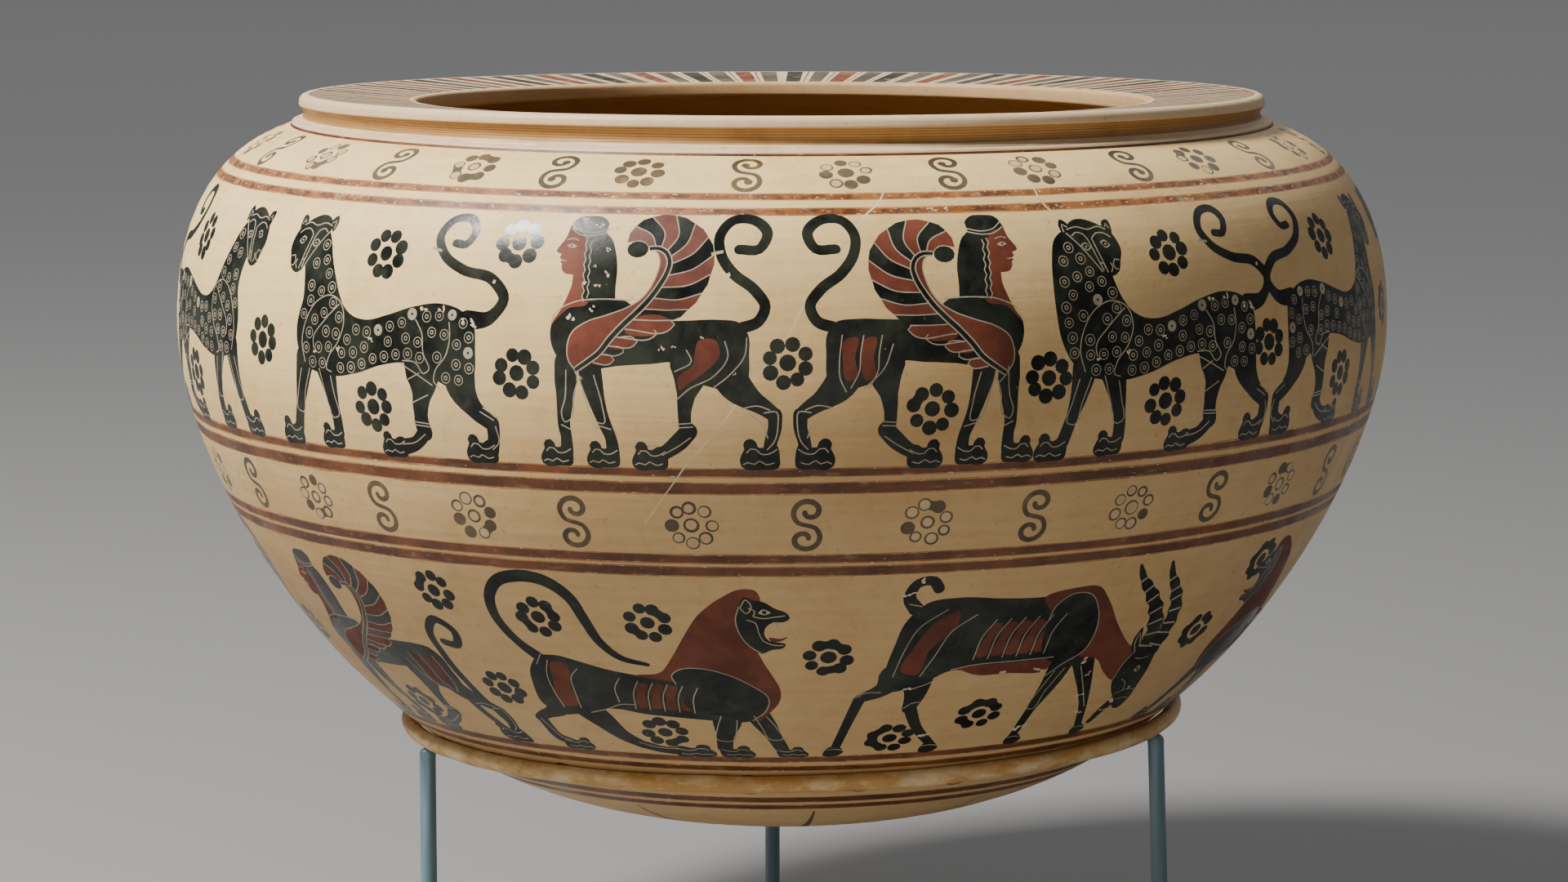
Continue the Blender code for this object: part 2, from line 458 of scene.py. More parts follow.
    def spots(self, coat: Sequence[Spot], lines: Sequence[Spot], face: Sequence[Spot]) -> None:
        """Ring the coat with spots, in rows that keep to its edge, clear of the incised lines.

        Args:
            coat: the body's outline.
            lines: the points of the incised lines.
            face: the outline of the face, which bears none.
        """
        dice = random.Random(7)
        places = []
        for i in range(-112, 50):
            for j in range(50, 150):
                spot = (0.34 * i, 0.34 * j)
                if inside(spot, coat) and not inside(spot, face):
                    room = min(clearance(spot, coat), clearance(spot, face) - 0.3)
                    if room > self.spot_size + 0.35:
                        places.append((round(room / 1.9), spot[0], spot))
        taken: list[Spot] = []
        for _, _, spot in sorted(places):
            if clearance(spot, lines) < self.spot_size + 0.12:
                continue
            if not taken or clearance(spot, taken) > self.spot_gap:
                taken.append(spot)
                self.ring(spot, self.spot_size * dice.uniform(0.92, 1.06), dice.random() < 0.10)

    def ring(self, spot: Spot, size: float, worn: bool) -> None:
        """One ringed spot: a fine circle round a finer one, or a bare place.

        Args:
            spot: its middle.
            size: its half width.
            worn: whether the slip within it is gone.
        """
        page = self.sheet
        page.dot(Ink.CUT, spot, size, 1.05, lift=1, corners=12)
        if not worn:
            page.dot(Ink.GLAZE, spot, size - 0.17, 1.05, lift=6, corners=11)
        page.dot(Ink.CUT, spot, 0.42 * size, 1.05, lift=3, corners=9)
        page.dot(Ink.GLAZE, spot, 0.25 * size, 1.05, lift=8, corners=6)

    def head(self) -> list[Spot]:
        """The face seen from in front: a domed brow over small ears, almond eyes and a long muzzle.

        Returns:
            Its outline.
        """
        page = self.sheet
        face = page.fill(Ink.GLAZE, [(17.3, 39.6), (18.8, 39.2), (20.9, 40.3), (21.7, 42.6), (22.5, 45), (22, 47.6),
                                     (20.8, 49.8), (18.9, 51.3), (16.4, 52.7), (13.7, 53.4), (11.2, 52.7),
                                     (9.7, 51), (9.9, 49), (12.2, 46.2), (14.4, 42.9), (16.2, 40.4)], lift=6)
        page.fill(Ink.GLAZE, [(19.2, 50.2), (19.6, 52.6), (21, 52.9), (21.5, 50.8), (20.9, 48.8)], lift=6, grain=0.8)
        page.fill(Ink.GLAZE, [(10.8, 51.6), (8.9, 53.5), (8.1, 51.9), (8.9, 49.4)], lift=6, grain=0.8)
        up = 4
        self.score((9.4, 50), (12, 46.8), (14.4, 43.4), (16.5, 40.3), lift=up)
        self.score((19.9, 50.4), (18, 51.2), (15.2, 50.6), (12.4, 51.4), (9.8, 50.8), lift=up)
        self.score((15.5, 48.3), (16.5, 44.6), (17.9, 40.2), lift=up)
        self.score((14.5, 48), (15.6, 44.2), (16.9, 40.6), lift=up)
        self.score((15.5, 48.3), (17, 49.6), (19, 49.5), (20.6, 48.4), lift=up)
        self.score((14.5, 48), (13.6, 49.5), (11.8, 50), (10.6, 49.2), lift=up)
        self.score((20.9, 50.6), (20.3, 51.9), (19.9, 51), lift=up)
        self.score((9, 50.2), (9, 52.2), (10.2, 51.4), lift=up)
        for x, y in ((18.7, 46.8), (13.6, 46.4)):
            page.fill(Ink.CUT, [(x - 1.3, y + 0.5), (x - 1.3, y + 0.5), (x - 0.1, y + 1.1), (x + 1.25, y - 0.3),
                                (x + 1.25, y - 0.3), (x + 0.1, y - 0.95)], lift=up, grain=0.7)
            page.fill(Ink.GLAZE, [(x - 0.95, y + 0.4), (x - 0.1, y + 0.82), (x + 0.9, y - 0.2), (x + 0.1, y - 0.68)],
                      lift=up + 5, grain=0.7)
            page.dot(Ink.CUT, (x, y + 0.05), 0.26, lift=up + 6, corners=7)
        self.score((21.4, 42.9), (20.2, 43.2), (19.6, 42), (20.1, 40.9), (20.8, 40.8), lift=up)
        self.score((18.9, 42.4), (19.4, 41.4), (18.8, 40.2), lift=up)
        self.score((16.2, 42.6), (17.2, 42.2), (17.4, 41.2), lift=up)
        return face


@dataclass
class Sphinx(Animal):
    """A walking sphinx: a lion's body, a sickle wing and a calm woman's head of a plain kind."""

    bands: int = 1
    low_tail: bool = False
    wing_shift: Spot = (0.0, 0.0)

    def draw(self) -> Sheet:
        """Returns: the finished drawing."""
        page = self.sheet
        page.fill(
            Ink.GLAZE,
            [(20, 30.4), (19.6, 27), (18.2, 24.4), (16, 22.2), (10, 22), (4, 22.9), (-3, 23.4),
             (-8.6, 23.6), (-12, 20), (-17, 18.4), (-21, 17.4), (-24.2, 19.6), (-24.8, 25.6), (-24.5, 30),
             (-22.6, 32.5), (-18, 33.2), (-11, 33), (-5, 33), (0, 34.8), (2.6, 37), (8, 37.3),
             (13.6, 36.4), (17.2, 34.6), (19.4, 32.4)],
        )
        self.limb((5, 5.2, 4, 3, 2.6, 3), (16.4, 23.4), (16.3, 17), (16.7, 12.6), (16.9, 9.6), (16.5, 6.8),
                  (16.5, 3.2))
        self.paw(15.7, 6.6, 0.3)
        self.limb((5.6, 5, 3.9, 3, 2.6, 3), (11, 23.4), (9.6, 17), (8.3, 12.4), (7.2, 9.4), (6.2, 6.8),
                  (5.8, 3.2))
        self.paw(4.9, 6.6, 0.3)
        self.limb((9.2, 9, 6.6, 4, 3, 2.7), (-12, 26), (-11.8, 20.6), (-11, 16.4), (-10.6, 13),
                  (-10.6, 9.8))
        self.limb((3.9, 4, 3.2, 3), (-11.4, 8.6), (-9.2, 6.2), (-5.8, 3.6), (-2.6, 2.2))
        self.paw(-5.9, 7)
        self.limb((8, 8, 6.4, 4.2, 3.2), (-20.4, 25), (-21.4, 19.6), (-24.8, 16.2), (-28.4, 13.8), (-30.2, 12.4))
        self.limb((3.2, 3, 2.8, 3.4), (-30.4, 12.4), (-30.3, 9.4), (-29.2, 5.6), (-29.2, 2.8))
        self.paw(-30.5, 7.6, 0.3)
        if self.low_tail:
            tail = [(-22.4, 19), (-24, 10), (-27.6, 3), (-29, 6), (-27.6, 18), (-26.2, 30),
                    (-27, 39), (-31, 42.6), (-35, 39.4), (-33, 35), (-29.4, 35.4)]
        else:
            tail = [(-23, 31.4), (-26.6, 32.8), (-28, 36), (-25.6, 39.6), (-20.6, 43.4), (-17.6, 47.6),
                    (-16.9, 52.2), (-19.4, 56), (-24, 56), (-27.2, 52.6), (-25.8, 49), (-21.4, 48.9)]
        self.limb((2.6, 2.4, 2.4, 2.3, 2.4, 2.4, 2.3), *tail)
        self.haunch()
        self.bust()
        self.apart(self.wing, lambda x, y: (x + self.wing_shift[0], y + self.wing_shift[1]))
        self.score((16.2, 21.8), (16.5, 15.3), (17.4, 11.9), (16.7, 10.1), (15.3, 10.8), (14.4, 16.2), (13.4, 19.6))
        self.score((14, 21.3), (12.4, 18), (11.2, 13.6), (9.4, 10.4), (7.7, 10), (7.9, 14), (9.8, 20.8))
        self.score((17.6, 9.5), (15.2, 8.4))
        self.score((9.2, 9.6), (6, 8.7))
        self.score((-9, 10.2), (-12.4, 10.5))
        self.score((-9, 9.4), (-12.4, 9.6))
        self.score((-23.4, 13.8), (-26.6, 14.4), (-29.4, 13.4))
        self.score((-28, 12.8), (-30.8, 13), (-31, 10), (-29.9, 6), (-28.4, 4.4))
        self.score((-24.6, 12.8), (-27.8, 10), (-28.7, 7))
        self.score((-11.8, 7.2), (-9, 5.2), (-5.2, 3))
        if self.worn:
            self.score((-15.4, 47.8), (-18, 48.4), width=0.7, lift=6)
            for spot, size in (((-19.6, 43.6), 0.8), ((7.9, 48.6), 0.6), ((7.2, 43), 0.8), ((9.6, 40.4), 0.7),
                               ((12.4, 40.8), 0.7), ((10.4, 44.6), 0.4), ((15.2, 33.4), 1), ((10.6, 35.2), 0.7),
                               ((-5.4, 26.9), 0.7), ((-8, 27), 0.5), ((10.2, 54.2), 0.9), ((13.6, 55.4), 0.8),
                               ((-14.6, 29.4), 0.5), ((-21.6, 21.4), 0.4)):
                self.chip(spot, size)
        return page

    def haunch(self) -> None:
        """The red strokes on the thigh, each held between two incised lines."""
        page = self.sheet
        if self.bands == 1:
            page.fill(Ink.RED, [(-13.6, 28.6), (-17.6, 28.6), (-18.4, 25.6), (-15.4, 22), (-11.2, 19), (-9.6, 17.8),
                                (-9.2, 20.4), (-12.6, 23.4), (-12.9, 26)])
            self.score((-11, 26.6), (-12.2, 24.2), (-8.4, 21.8))
            self.score((-19.4, 28.6), (-20.2, 25.4), (-17.2, 21), (-11.6, 18), (-8.8, 15.6))
            self.score((-24.2, 29.4), (-23.9, 25.6), (-20.8, 21.4), (-16.8, 18.2))
            return
        for shift in (0, 4.1)[: self.bands]:
            page.fill(Ink.RED, [(-13.8 - shift, 29.2), (-16.4 - shift, 28.8), (-17.1 - shift, 24),
                                (-16.0 - shift, 19.6), (-14.2 - shift, 20.2), (-14.4 - shift, 24.6)])
            self.score((-12.4 - shift, 29.6), (-13.2 - shift, 25.2), (-13.4 - shift, 22), (-15.4 - shift, 18))
        self.score((-21.2, 29.8), (-21.9, 24.4), (-21.8, 20.2), (-20.4, 17.2))
        self.score((-10, 27.6), (-12, 22.4), (-16.4, 18))

    def bust(self) -> None:
        """Neck, face and hair: thirds from hairline to brow, nose and chin, as a plain stock profile."""
        page = self.sheet
        page.fill(
            Ink.RED,
            [(19.9, 31.4), (18, 34.4), (16.4, 37.6), (15.4, 40.6), (15.3, 42.6), (15.3, 42.6), (17.5, 43),
             (18.2, 44.4), (18.1, 45), (18.6, 45.4), (18.2, 45.9), (18.2, 45.9), (18.8, 46.4), (18.4, 47.2),
             (18.4, 47.2), (19.7, 47.8), (18.9, 49.3), (17.9, 50.8), (17.4, 52.2), (16.8, 54.2), (13, 53),
             (11.6, 47), (11.4, 40), (11.6, 36.2), (15.8, 35.2)],
            grain=0.7,
        )
        page.fill(
            Ink.GLAZE,
            [(12.6, 56.6), (15.2, 56.2), (16.6, 54.6), (16.6, 53), (16.6, 53), (14.2, 52.4), (12.9, 50),
             (12.8, 46), (12.7, 41), (12.8, 36.8), (12.8, 36.8), (8.6, 37.3), (5.2, 36.6), (5.2, 36.6),
             (5.3, 40.4), (5.2, 44), (5.9, 48), (7.2, 51.2), (8.6, 52.6), (8.2, 54.8), (9.7, 56.4)],
            lift=2,
        )
        wave = [(12.9 - 0.02 * k + (0.22 if k % 2 else -0.22), 50.8 - 1.17 * k) for k in range(13)]
        self.score(*wave)
        self.score(*[(x - 1.1, y - 0.4) for x, y in wave[:12]])
        self.score((7.8, 53.4), (11.8, 52.5), (14.6, 53), (16.6, 54.8), lift=1)
        self.score((8.2, 52.5), (12, 51.7), (14.8, 52), (16.8, 53.4), lift=1)
        page.fill(Ink.CUT, [(15, 49.1), (15, 49.1), (16.2, 49.8), (17.4, 49.2), (17.4, 49.2), (16.2, 48.7)],
                  grain=0.7)
        page.dot(Ink.RED, (16.3, 49.25), 0.32, lift=5, corners=7)
        self.score((14.7, 50.5), (16.2, 51), (17.4, 50.6), width=0.22)
        self.score((18.2, 45.8), (17.1, 45.7), width=0.22)
        self.score((19.9, 32), (18.6, 34.4), (14.6, 36.6), (8, 37.4), (1.6, 37.2))

    def wing(self) -> None:
        """The sickle wing: a red leading field, a dark spine and vanes in turn black and red."""
        page = self.sheet
        spine = [(14, 21.8), (11.5, 23.5), (8.5, 25.8), (6.2, 28.7), (3.4, 31.7), (0.2, 34.7), (-2.3, 37.4),
                 (-4.4, 40.4), (-5.9, 43.3), (-6.4, 45.9), (-5.5, 48), (-3.7, 49), (-1.6, 48.9)]
        vanes = [
            ((0.8, 33), (-3.4, 32.9), (-7.8, 33)),
            ((-1.1, 35.4), (-6.1, 35.2), (-11.2, 35.4)),
            ((-3.4, 37.8), (-8.7, 37.5), (-14, 39)),
            ((-5, 40.2), (-10.8, 40.7), (-15.7, 43.2)),
            ((-6.1, 42.8), (-11.6, 44.3), (-16.1, 47.7)),
            ((-6.7, 45.4), (-11.4, 47.9), (-14.4, 51.8)),
            ((-6.4, 47), (-9.8, 50.2), (-11.1, 55.1)),
            ((-5.5, 48.3), (-7.7, 51.9), (-6.6, 57.2)),
            ((-4.2, 49), (-4.7, 52.4), (-1.4, 56.7)),
            ((-3, 49.2), (-2.1, 51.8), (2.1, 54.3)),
            ((-1.7, 49), (-0.1, 50.5), (3.6, 50.2)),
        ]
        lines = [smooth(vane, False, 0.8) for vane in vanes]
        for k, (low, high) in enumerate(zip(lines, lines[1:])):
            bulge = (0.5 * (low[-1][0] + high[-1][0]), 0.5 * (low[-1][1] + high[-1][1]))
            bulge = (-6.0 + 1.04 * (bulge[0] + 6), 45.6 + 1.04 * (bulge[1] - 45.6))
            ink = Ink.RED if k % 2 else Ink.GLAZE
            page.cover(ink, [*low, bulge, *reversed(high)], 7 - ink.layer)
        for line in lines:
            page.line(Ink.CUT, self.cut, line)
        page.fill(Ink.RED, [(1, 33), (-7.4, 33), (-8.3, 32.1), (-7.4, 31.1), (2.8, 30.9)], lift=1)
        self.score((-7.4, 33), (-8.3, 32.1), (-7.4, 31.1), (2.8, 30.9))
        self.score((4.4, 29.1), (-3.6, 29.3), (-4.5, 30.1), (-3.8, 30.9))
        page.fill(Ink.RED, [(4.6, 29.1), (0.8, 29.1), (-0.1, 28.2), (0.8, 27.3), (6.4, 27.2)], lift=1)
        self.score((4.6, 29.1), (0.8, 29.1), (-0.1, 28.2), (0.8, 27.3), (6.4, 27.2))
        self.score((4.6, 27.2), (3.2, 26.8), (3, 25.9), (4, 25.3), (8, 25.3))
        page.fill(Ink.RED, [(8.2, 25.3), (5.8, 25.1), (5.1, 24.2), (6, 23.3), (10, 23.5)], lift=1)
        self.score((8.2, 25.3), (5.8, 25.1), (5.1, 24.2), (6, 23.3), (10, 23.5))
        front = [(14.2, 21.8), (15.7, 24), (16, 26.6), (14.9, 30), (11.9, 32.2), (6.7, 34), (2, 35.9),
                 (-0.7, 37.7), (-2.7, 40.4), (-3.8, 43.2), (-4.2, 45.9), (-3.7, 47.6), (-2.4, 48.7)]
        page.fill(Ink.RED, [*front, (-4, 48.6), (-6, 46.8), (-6, 44.4), (-4.6, 40.8), (-2.3, 37.4), (0.2, 34.7),
                            (3.4, 31.7), (6.2, 28.7), (8.5, 25.8), (11.5, 23.5)], lift=1)
        self.score(*front)
        page.line(Ink.CUT, (1.4, 1.6, 1.6, 1.5, 1.3), spine, lift=1)
        page.line(Ink.GLAZE, (0.8, 1, 1, 0.9, 0.7), spine, lift=6)
        page.dot(Ink.GLAZE, (1, 48.7), 2.4, 0.8, lift=6)
        self.score((14.2, 21.6), (12.4, 19.8))


@dataclass
class Lion(Animal):
    """A prowling lion with a red mane, jaws open and its tail thrown up over its back."""

    ribs: int = 4

    def draw(self) -> Sheet:
        """Returns: the finished drawing."""
        page = self.sheet
        page.fill(
            Ink.GLAZE,
            [(29, 21.6), (26.6, 17), (22, 14.4), (15, 14.6), (7, 15.4), (-1, 16.2), (-9, 17.6),
             (-16, 15.4), (-23, 14.2), (-27.2, 17.5), (-28.2, 24), (-27.4, 30.5), (-24.4, 34.4), (-20, 35),
             (-14, 33.4), (-7, 31.2), (0, 29.9), (5, 29.8), (12, 31), (22, 29), (27.6, 26)],
        )
        self.limb((7.4, 6.4, 4, 3.6), (18.4, 18), (16.6, 11.6), (15.4, 6.6), (14.8, 3.4))
        self.paw(13.9, 7, -0.1, 0.78)
        self.limb((6.2, 5.4, 3.8, 3.4), (24.4, 18.6), (26.2, 12.4), (27.4, 6.6), (27.9, 3.4))
        self.paw(26.9, 6.2, 0, 0.78)
        self.limb((9, 7, 3.6, 3.2), (-22, 20), (-24.6, 15.2), (-28.4, 12.8), (-29.4, 11.8))
        self.limb((3, 2.8, 3, 3.4), (-29.2, 12), (-28, 8), (-26.6, 4.4), (-23, 2))
        self.paw(-25, 7, 0, 0.8)
        self.limb((8.4, 6.8, 4.6, 3.2), (-17, 19), (-12.6, 13), (-8.6, 7), (-4.6, 3.6))
        self.limb((3.4, 3, 3.2), (-4.8, 3.8), (0, 2), (4, 1.6))
        self.paw(3.2, 8.6, -0.2, 0.66)
        tail = [(-24, 33.6), (-28, 37.4), (-31.4, 41.8), (-33.6, 46.6), (-33.7, 52), (-30.9, 56.4),
                (-25.8, 58.2), (-18.6, 57.4), (-13.2, 53.2), (-10.4, 46.6), (-7.8, 40), (-3.6, 35.4), (2.4, 33.6)]
        self.limb((3.2, 2.4, 2.6, 3.2, 3.4, 3.2, 2.9, 2.6, 2.1, 1.2), *tail)
        page.fill(
            Ink.RED,
            [(-1, 30), (4.6, 31), (8.6, 36.4), (12.4, 43), (16.8, 49.6), (22.2, 54.2), (27.4, 56.8),
             (30.4, 56.4), (31.2, 53.4), (29.4, 49.4), (26.8, 45.6), (26.4, 41.6), (28.2, 38.6), (29.4, 34.4),
             (30.8, 29.8), (31.6, 26), (30.8, 22), (28, 18), (24.6, 14.6), (20.6, 24), (10, 27.6)],
        )
        shoulder = [(8, 27.4), (7.4, 30.2), (9.8, 32.4), (14.6, 32.8), (20.2, 31), (25.2, 27.4), (28.4, 23.2),
                    (27, 18.4), (23.4, 14.8), (16, 14.8), (9, 20)]
        page.fill(Ink.GLAZE, shoulder, lift=2)
        self.score(*shoulder[:9])
        self.apart(self.head, lambda x, y: (x - 2.1, y + 0.4))
        for k in range(self.ribs):
            x = -2.5 + 3.45 * k
            page.fill(Ink.RED, [(x + 1.5, 27.4 - 0.3 * k), (x + 3.6, 27.2 - 0.3 * k), (x + 2.4, 23.6 - 0.3 * k),
                                (x + 2, 18.8 - 0.2 * k), (x + 0.2, 18.6 - 0.2 * k), (x + 0.4, 23.0 - 0.3 * k)])
        for k in range(self.ribs + 1):
            x = -2.6 + 3.45 * k
            self.score((x + 1.6, 28.0 - 0.4 * k), (x, 24.4 - 0.4 * k), (x - 0.7, 18.0 - 0.2 * k), lift=3)
        page.fill(Ink.RED, [(-18, 32.4), (-21.4, 32.8), (-22.4, 27), (-21.2, 17.6), (-18.4, 17.4), (-18.2, 24.6)])
        self.score((-15.2, 31), (-17.2, 28.4), (-17.5, 22.6), (-17.2, 17))
        self.score((-22.4, 33.2), (-23.5, 29), (-23, 22.4), (-21.6, 16.8))
        self.score((-5.2, 28.8), (-7, 25.4), (-6.9, 20.2))
        self.score((-15, 15.6), (-10, 17.6), (-6.8, 19.4), (-3.4, 19.6))
        self.score((16.4, 16.4), (14.6, 11.6), (13.8, 7), (16.8, 6.4), (19, 11.4), (19.8, 15))
        self.score((24, 16.6), (25, 12), (26.2, 7.2), (28.6, 7.2), (28.2, 12.4), (26.8, 16.4))
        self.score((-29.6, 11.4), (-27.6, 7.6), (-25.6, 4), (-23, 3))
        self.score((-5.6, 4.6), (-1, 2.8), (3.6, 2.6))
        self.score((-25.6, 31.4), (-23.8, 35))
        return page

    def head(self) -> None:
        """The head with its jaws open and its tongue out."""
        page = self.sheet
        page.fill(
            Ink.GLAZE,
            [(28.2, 51.4), (29.8, 54.2), (31.4, 53.4), (33.8, 52.8), (36.4, 50.8), (38.6, 49.6), (39.2, 48.2),
             (37.6, 46.9), (35.4, 46.9), (33.6, 45.6), (32.8, 43.4), (33.6, 41.4), (35.4, 40.9), (37.2, 40.4),
             (36.6, 39.2), (34, 38.6), (31.2, 37.4), (28.9, 39.8), (27.2, 43.8), (27, 48)],
            lift=2, grain=0.8,
        )
        self.score((31.2, 37.6), (28.9, 39.8), (27.2, 43.8), (27, 48), (28.2, 51.4))
        self.score((28.4, 51), (30, 53.4), (31, 51.6), (29.6, 49.4), (28.4, 51))
        page.fill(Ink.CUT, [(32.2, 49.6), (32.2, 49.6), (33.6, 50.7), (35.2, 49.7), (35.2, 49.7), (33.6, 49)],
                  grain=0.7)
        page.dot(Ink.GLAZE, (33.7, 49.8), 0.55, lift=5, corners=8)
        self.score((31, 48.6), (33, 48), (35.6, 48.4), (38.2, 48.8))
        self.score((29.4, 47.6), (31.2, 46.8), (31.6, 44), (32.4, 41.2), (34.6, 40), (36.6, 39.9))
        self.score((30.2, 51), (31.6, 50.2), (31, 48.6))
        page.fill(Ink.CUT, [(35.6, 46.9), (36.4, 46.9), (36.1, 45.4)], grain=0.7)
        page.fill(Ink.RED, [(33.6, 42.2), (36.4, 42), (38, 42.6), (36.4, 41.3), (34, 41.2)], lift=3, grain=0.8)


@dataclass
class Goat(Animal):
    """A grazing wild goat, its long ridged horns swept back over its neck."""

    ribs: int = 5

    def leg(self, hoof: Spot, *spots: Spot, widths: Sequence[float] = (7.0, 4.2, 2.6, 2.2)) -> None:
        """A slim leg down to its cloven hoof.

        Args:
            hoof: where the hoof stands.
            spots: the points that the leg passes through.
            widths: its widths in turn from the top.
        """
        self.limb(widths, *spots)
        x, y = hoof
        self.sheet.fill(Ink.GLAZE, [(x - 1.5, y - 0.1), (x - 1.8, y + 1.4), (x - 1, y + 3.6), (x + 1, y + 3.6),
                                    (x + 2.4, y + 2.2), (x + 2.9, y + 0.9), (x + 2.2, y - 0.2)], grain=0.9)
        self.score((x - 1.8, y + 2.2), (x + 0.4, y + 2.6), (x + 2.6, y + 2))

    def draw(self) -> Sheet:
        """Returns: the finished drawing."""
        page = self.sheet
        page.fill(
            Ink.GLAZE,
            [(20.6, 42), (21, 35), (18, 29.6), (11, 29), (0, 29), (-8, 29.4), (-14, 30.4),
             (-21, 26), (-27.4, 24.4), (-29.8, 30), (-30, 39), (-29, 46.8), (-25.5, 51.6), (-18, 52.8),
             (-8, 51.8), (4, 51.2), (12, 52.2), (17.8, 50)],
        )
        self.leg((-33.6, 0.2), (-27, 30), (-28.6, 25.6), (-33.4, 22.2), widths=(8.4, 5, 3))
        self.limb((2.9, 2.4, 2.2), (-33.4, 22.4), (-33.6, 14), (-33.2, 3))
        self.leg((-11, 0), (-22, 30), (-20.6, 23), (-20.6, 18), widths=(8.6, 5.6, 3.4))
        self.limb((3, 2.4, 2.2), (-20.6, 18.4), (-16.4, 10.4), (-10.6, 3))
        self.leg((11, 0), (15, 34), (14, 25), (11.6, 13), (10.8, 3), widths=(8, 5.6, 2.6, 2.2))
        self.leg((30.6, 0), (19.6, 32), (23, 24), (27.4, 13), (30.4, 3), widths=(7, 4.6, 2.6, 2.2))
        self.limb((3.4, 2.8, 2.6, 2.6), (-27.6, 50), (-30, 53.6), (-28.8, 57.4), (-25.4, 57.9), (-23.6, 55.6))
        page.fill(
            Ink.RED,
            [(3.4, 50.8), (11.6, 53), (17.6, 52.6), (21.6, 48.2), (27, 40), (33.4, 32.6), (38.6, 28.8),
             (37, 23.6), (33.4, 20.4), (29.2, 23.6), (24, 29.6), (19, 31), (14, 40), (7.2, 45.6)],
        )
        shoulder = [(6.2, 43.6), (7, 48), (10.8, 51.2), (15.8, 50.6), (19.2, 46), (20.8, 38.8), (19.6, 33),
                    (14.6, 29), (9, 32)]
        page.fill(Ink.GLAZE, shoulder, lift=2)
        self.score(*shoulder[:8], (11.2, 25.6))
        page.fill(Ink.RED, [(-12.6, 31), (-4, 31.5), (6, 31.5), (11.6, 31.6), (11, 28.4), (0, 28),
                            (-8, 28.4)])
        self.score((-14.4, 30.6), (-10, 31.6), (0, 31.9), (11.4, 31.9))
        page.fill(
            Ink.GLAZE,
            [(36.8, 30), (40.6, 31.2), (43.8, 29.4), (44.8, 23.6), (44.2, 16.4), (43.4, 10), (41.6, 7.6),
             (39.4, 8.4), (37.6, 12.2), (34.8, 16.4), (33.4, 20.4), (34.4, 25.8)],
            lift=2,
        )
        self.score((36.6, 29.8), (34.4, 25.8), (33.4, 20.6))
        page.fill(Ink.CUT, [(39.4, 22.6), (39.4, 22.6), (40.6, 24.2), (41.8, 22.8), (41.8, 22.8), (40.6, 21.8)],
                  grain=0.7)
        page.dot(Ink.GLAZE, (40.6, 23), 0.5, lift=5, corners=8)
        self.score((38.6, 11.6), (41, 12.2), (43.4, 11.4))
        self.score((37.2, 14.4), (40, 15.4), (44, 14.6))
        page.fill(Ink.GLAZE, [(36.4, 28.8), (34.6, 31.4), (34.4, 35.2), (35.8, 37.8), (36.8, 34.4), (38.2, 31)], lift=2)
        self.score((36.6, 29.6), (35.4, 32), (35.6, 36), (36.6, 33.6), (37.6, 31))
        self.limb((3.4, 2.8, 2), (38.4, 12.6), (35.6, 8.4), (33.8, 4), lift=2)
        self.score((37.8, 27.2), (40, 26.6), (42.6, 27))
        self.score((36.6, 20), (38.6, 18.4), (39.6, 14.8))
        for spots in (
            [(38.6, 27), (40, 35), (38, 42.6), (33.8, 49), (30, 53.6), (28.2, 57.2)],
            [(41.8, 27), (44.4, 35.6), (44.6, 42.8), (41.8, 49.4), (39.2, 53.6), (38.2, 56.9)],
        ):
            ridges = [4.2, 5.8, 4.2, 5.8, 4, 5.6, 3.8, 5, 3.2, 4.4, 2.7, 3.3, 2, 1.9, 0.9]
            middle = page.line(Ink.GLAZE, ridges, spots, lift=2, blunt=True)
            for k in range(1, 8):
                i = round(k / 8 * (len(middle) - 2))
                a, b = middle[i], middle[i + 1]
                run = dist(a, b)
                half = 2.9 - 0.24 * k
                across = (-(b[1] - a[1]) / run * half, (b[0] - a[0]) / run * half)
                self.score((a[0] - across[0], a[1] - across[1]), (a[0] + across[0], a[1] + across[1]), width=0.5)
        for k in range(self.ribs):
            x = -9.6 + 3.6 * k
            page.fill(Ink.RED, [(x + 2.6, 44.6), (x + 4.2, 44.2), (x + 2.8, 40), (x + 2.2, 34.2), (x + 0.6, 34.2),
                                (x + 0.9, 40)])
        for k in range(self.ribs + 1):
            x = -10.0 + 3.6 * k
            self.score((x + 2.8, 45.6), (x + 0.6, 41), (x + 0.1, 33.4), lift=3)
        page.fill(Ink.RED, [(-17, 48.6), (-21.4, 46.4), (-25.2, 39), (-26, 30.6), (-22.6, 29.6), (-21.4, 37),
                            (-16.6, 45.4)])
        self.score((-20, 49.6), (-25.4, 44.6), (-27.4, 36.6), (-27.8, 29.2))
        self.score((-12.4, 47.6), (-17.4, 43), (-19.6, 35.6), (-21.4, 29))
        self.score((-14, 30.4), (-18.4, 26.6), (-22.6, 24.6))
        self.score((16, 27.6), (13.2, 20), (11.6, 13.6), (10.8, 13.8), (11.4, 20.4), (13.4, 27))
        self.score((20.6, 27.6), (25.4, 17.6), (28.4, 11.4))
        self.score((-34.6, 22.6), (-33, 24), (-29, 24.2))
        self.score((-22, 18), (-20.6, 19.8), (-18.6, 20))
        self.score((-29.6, 51.6), (-26.4, 50.8))
        if self.worn:
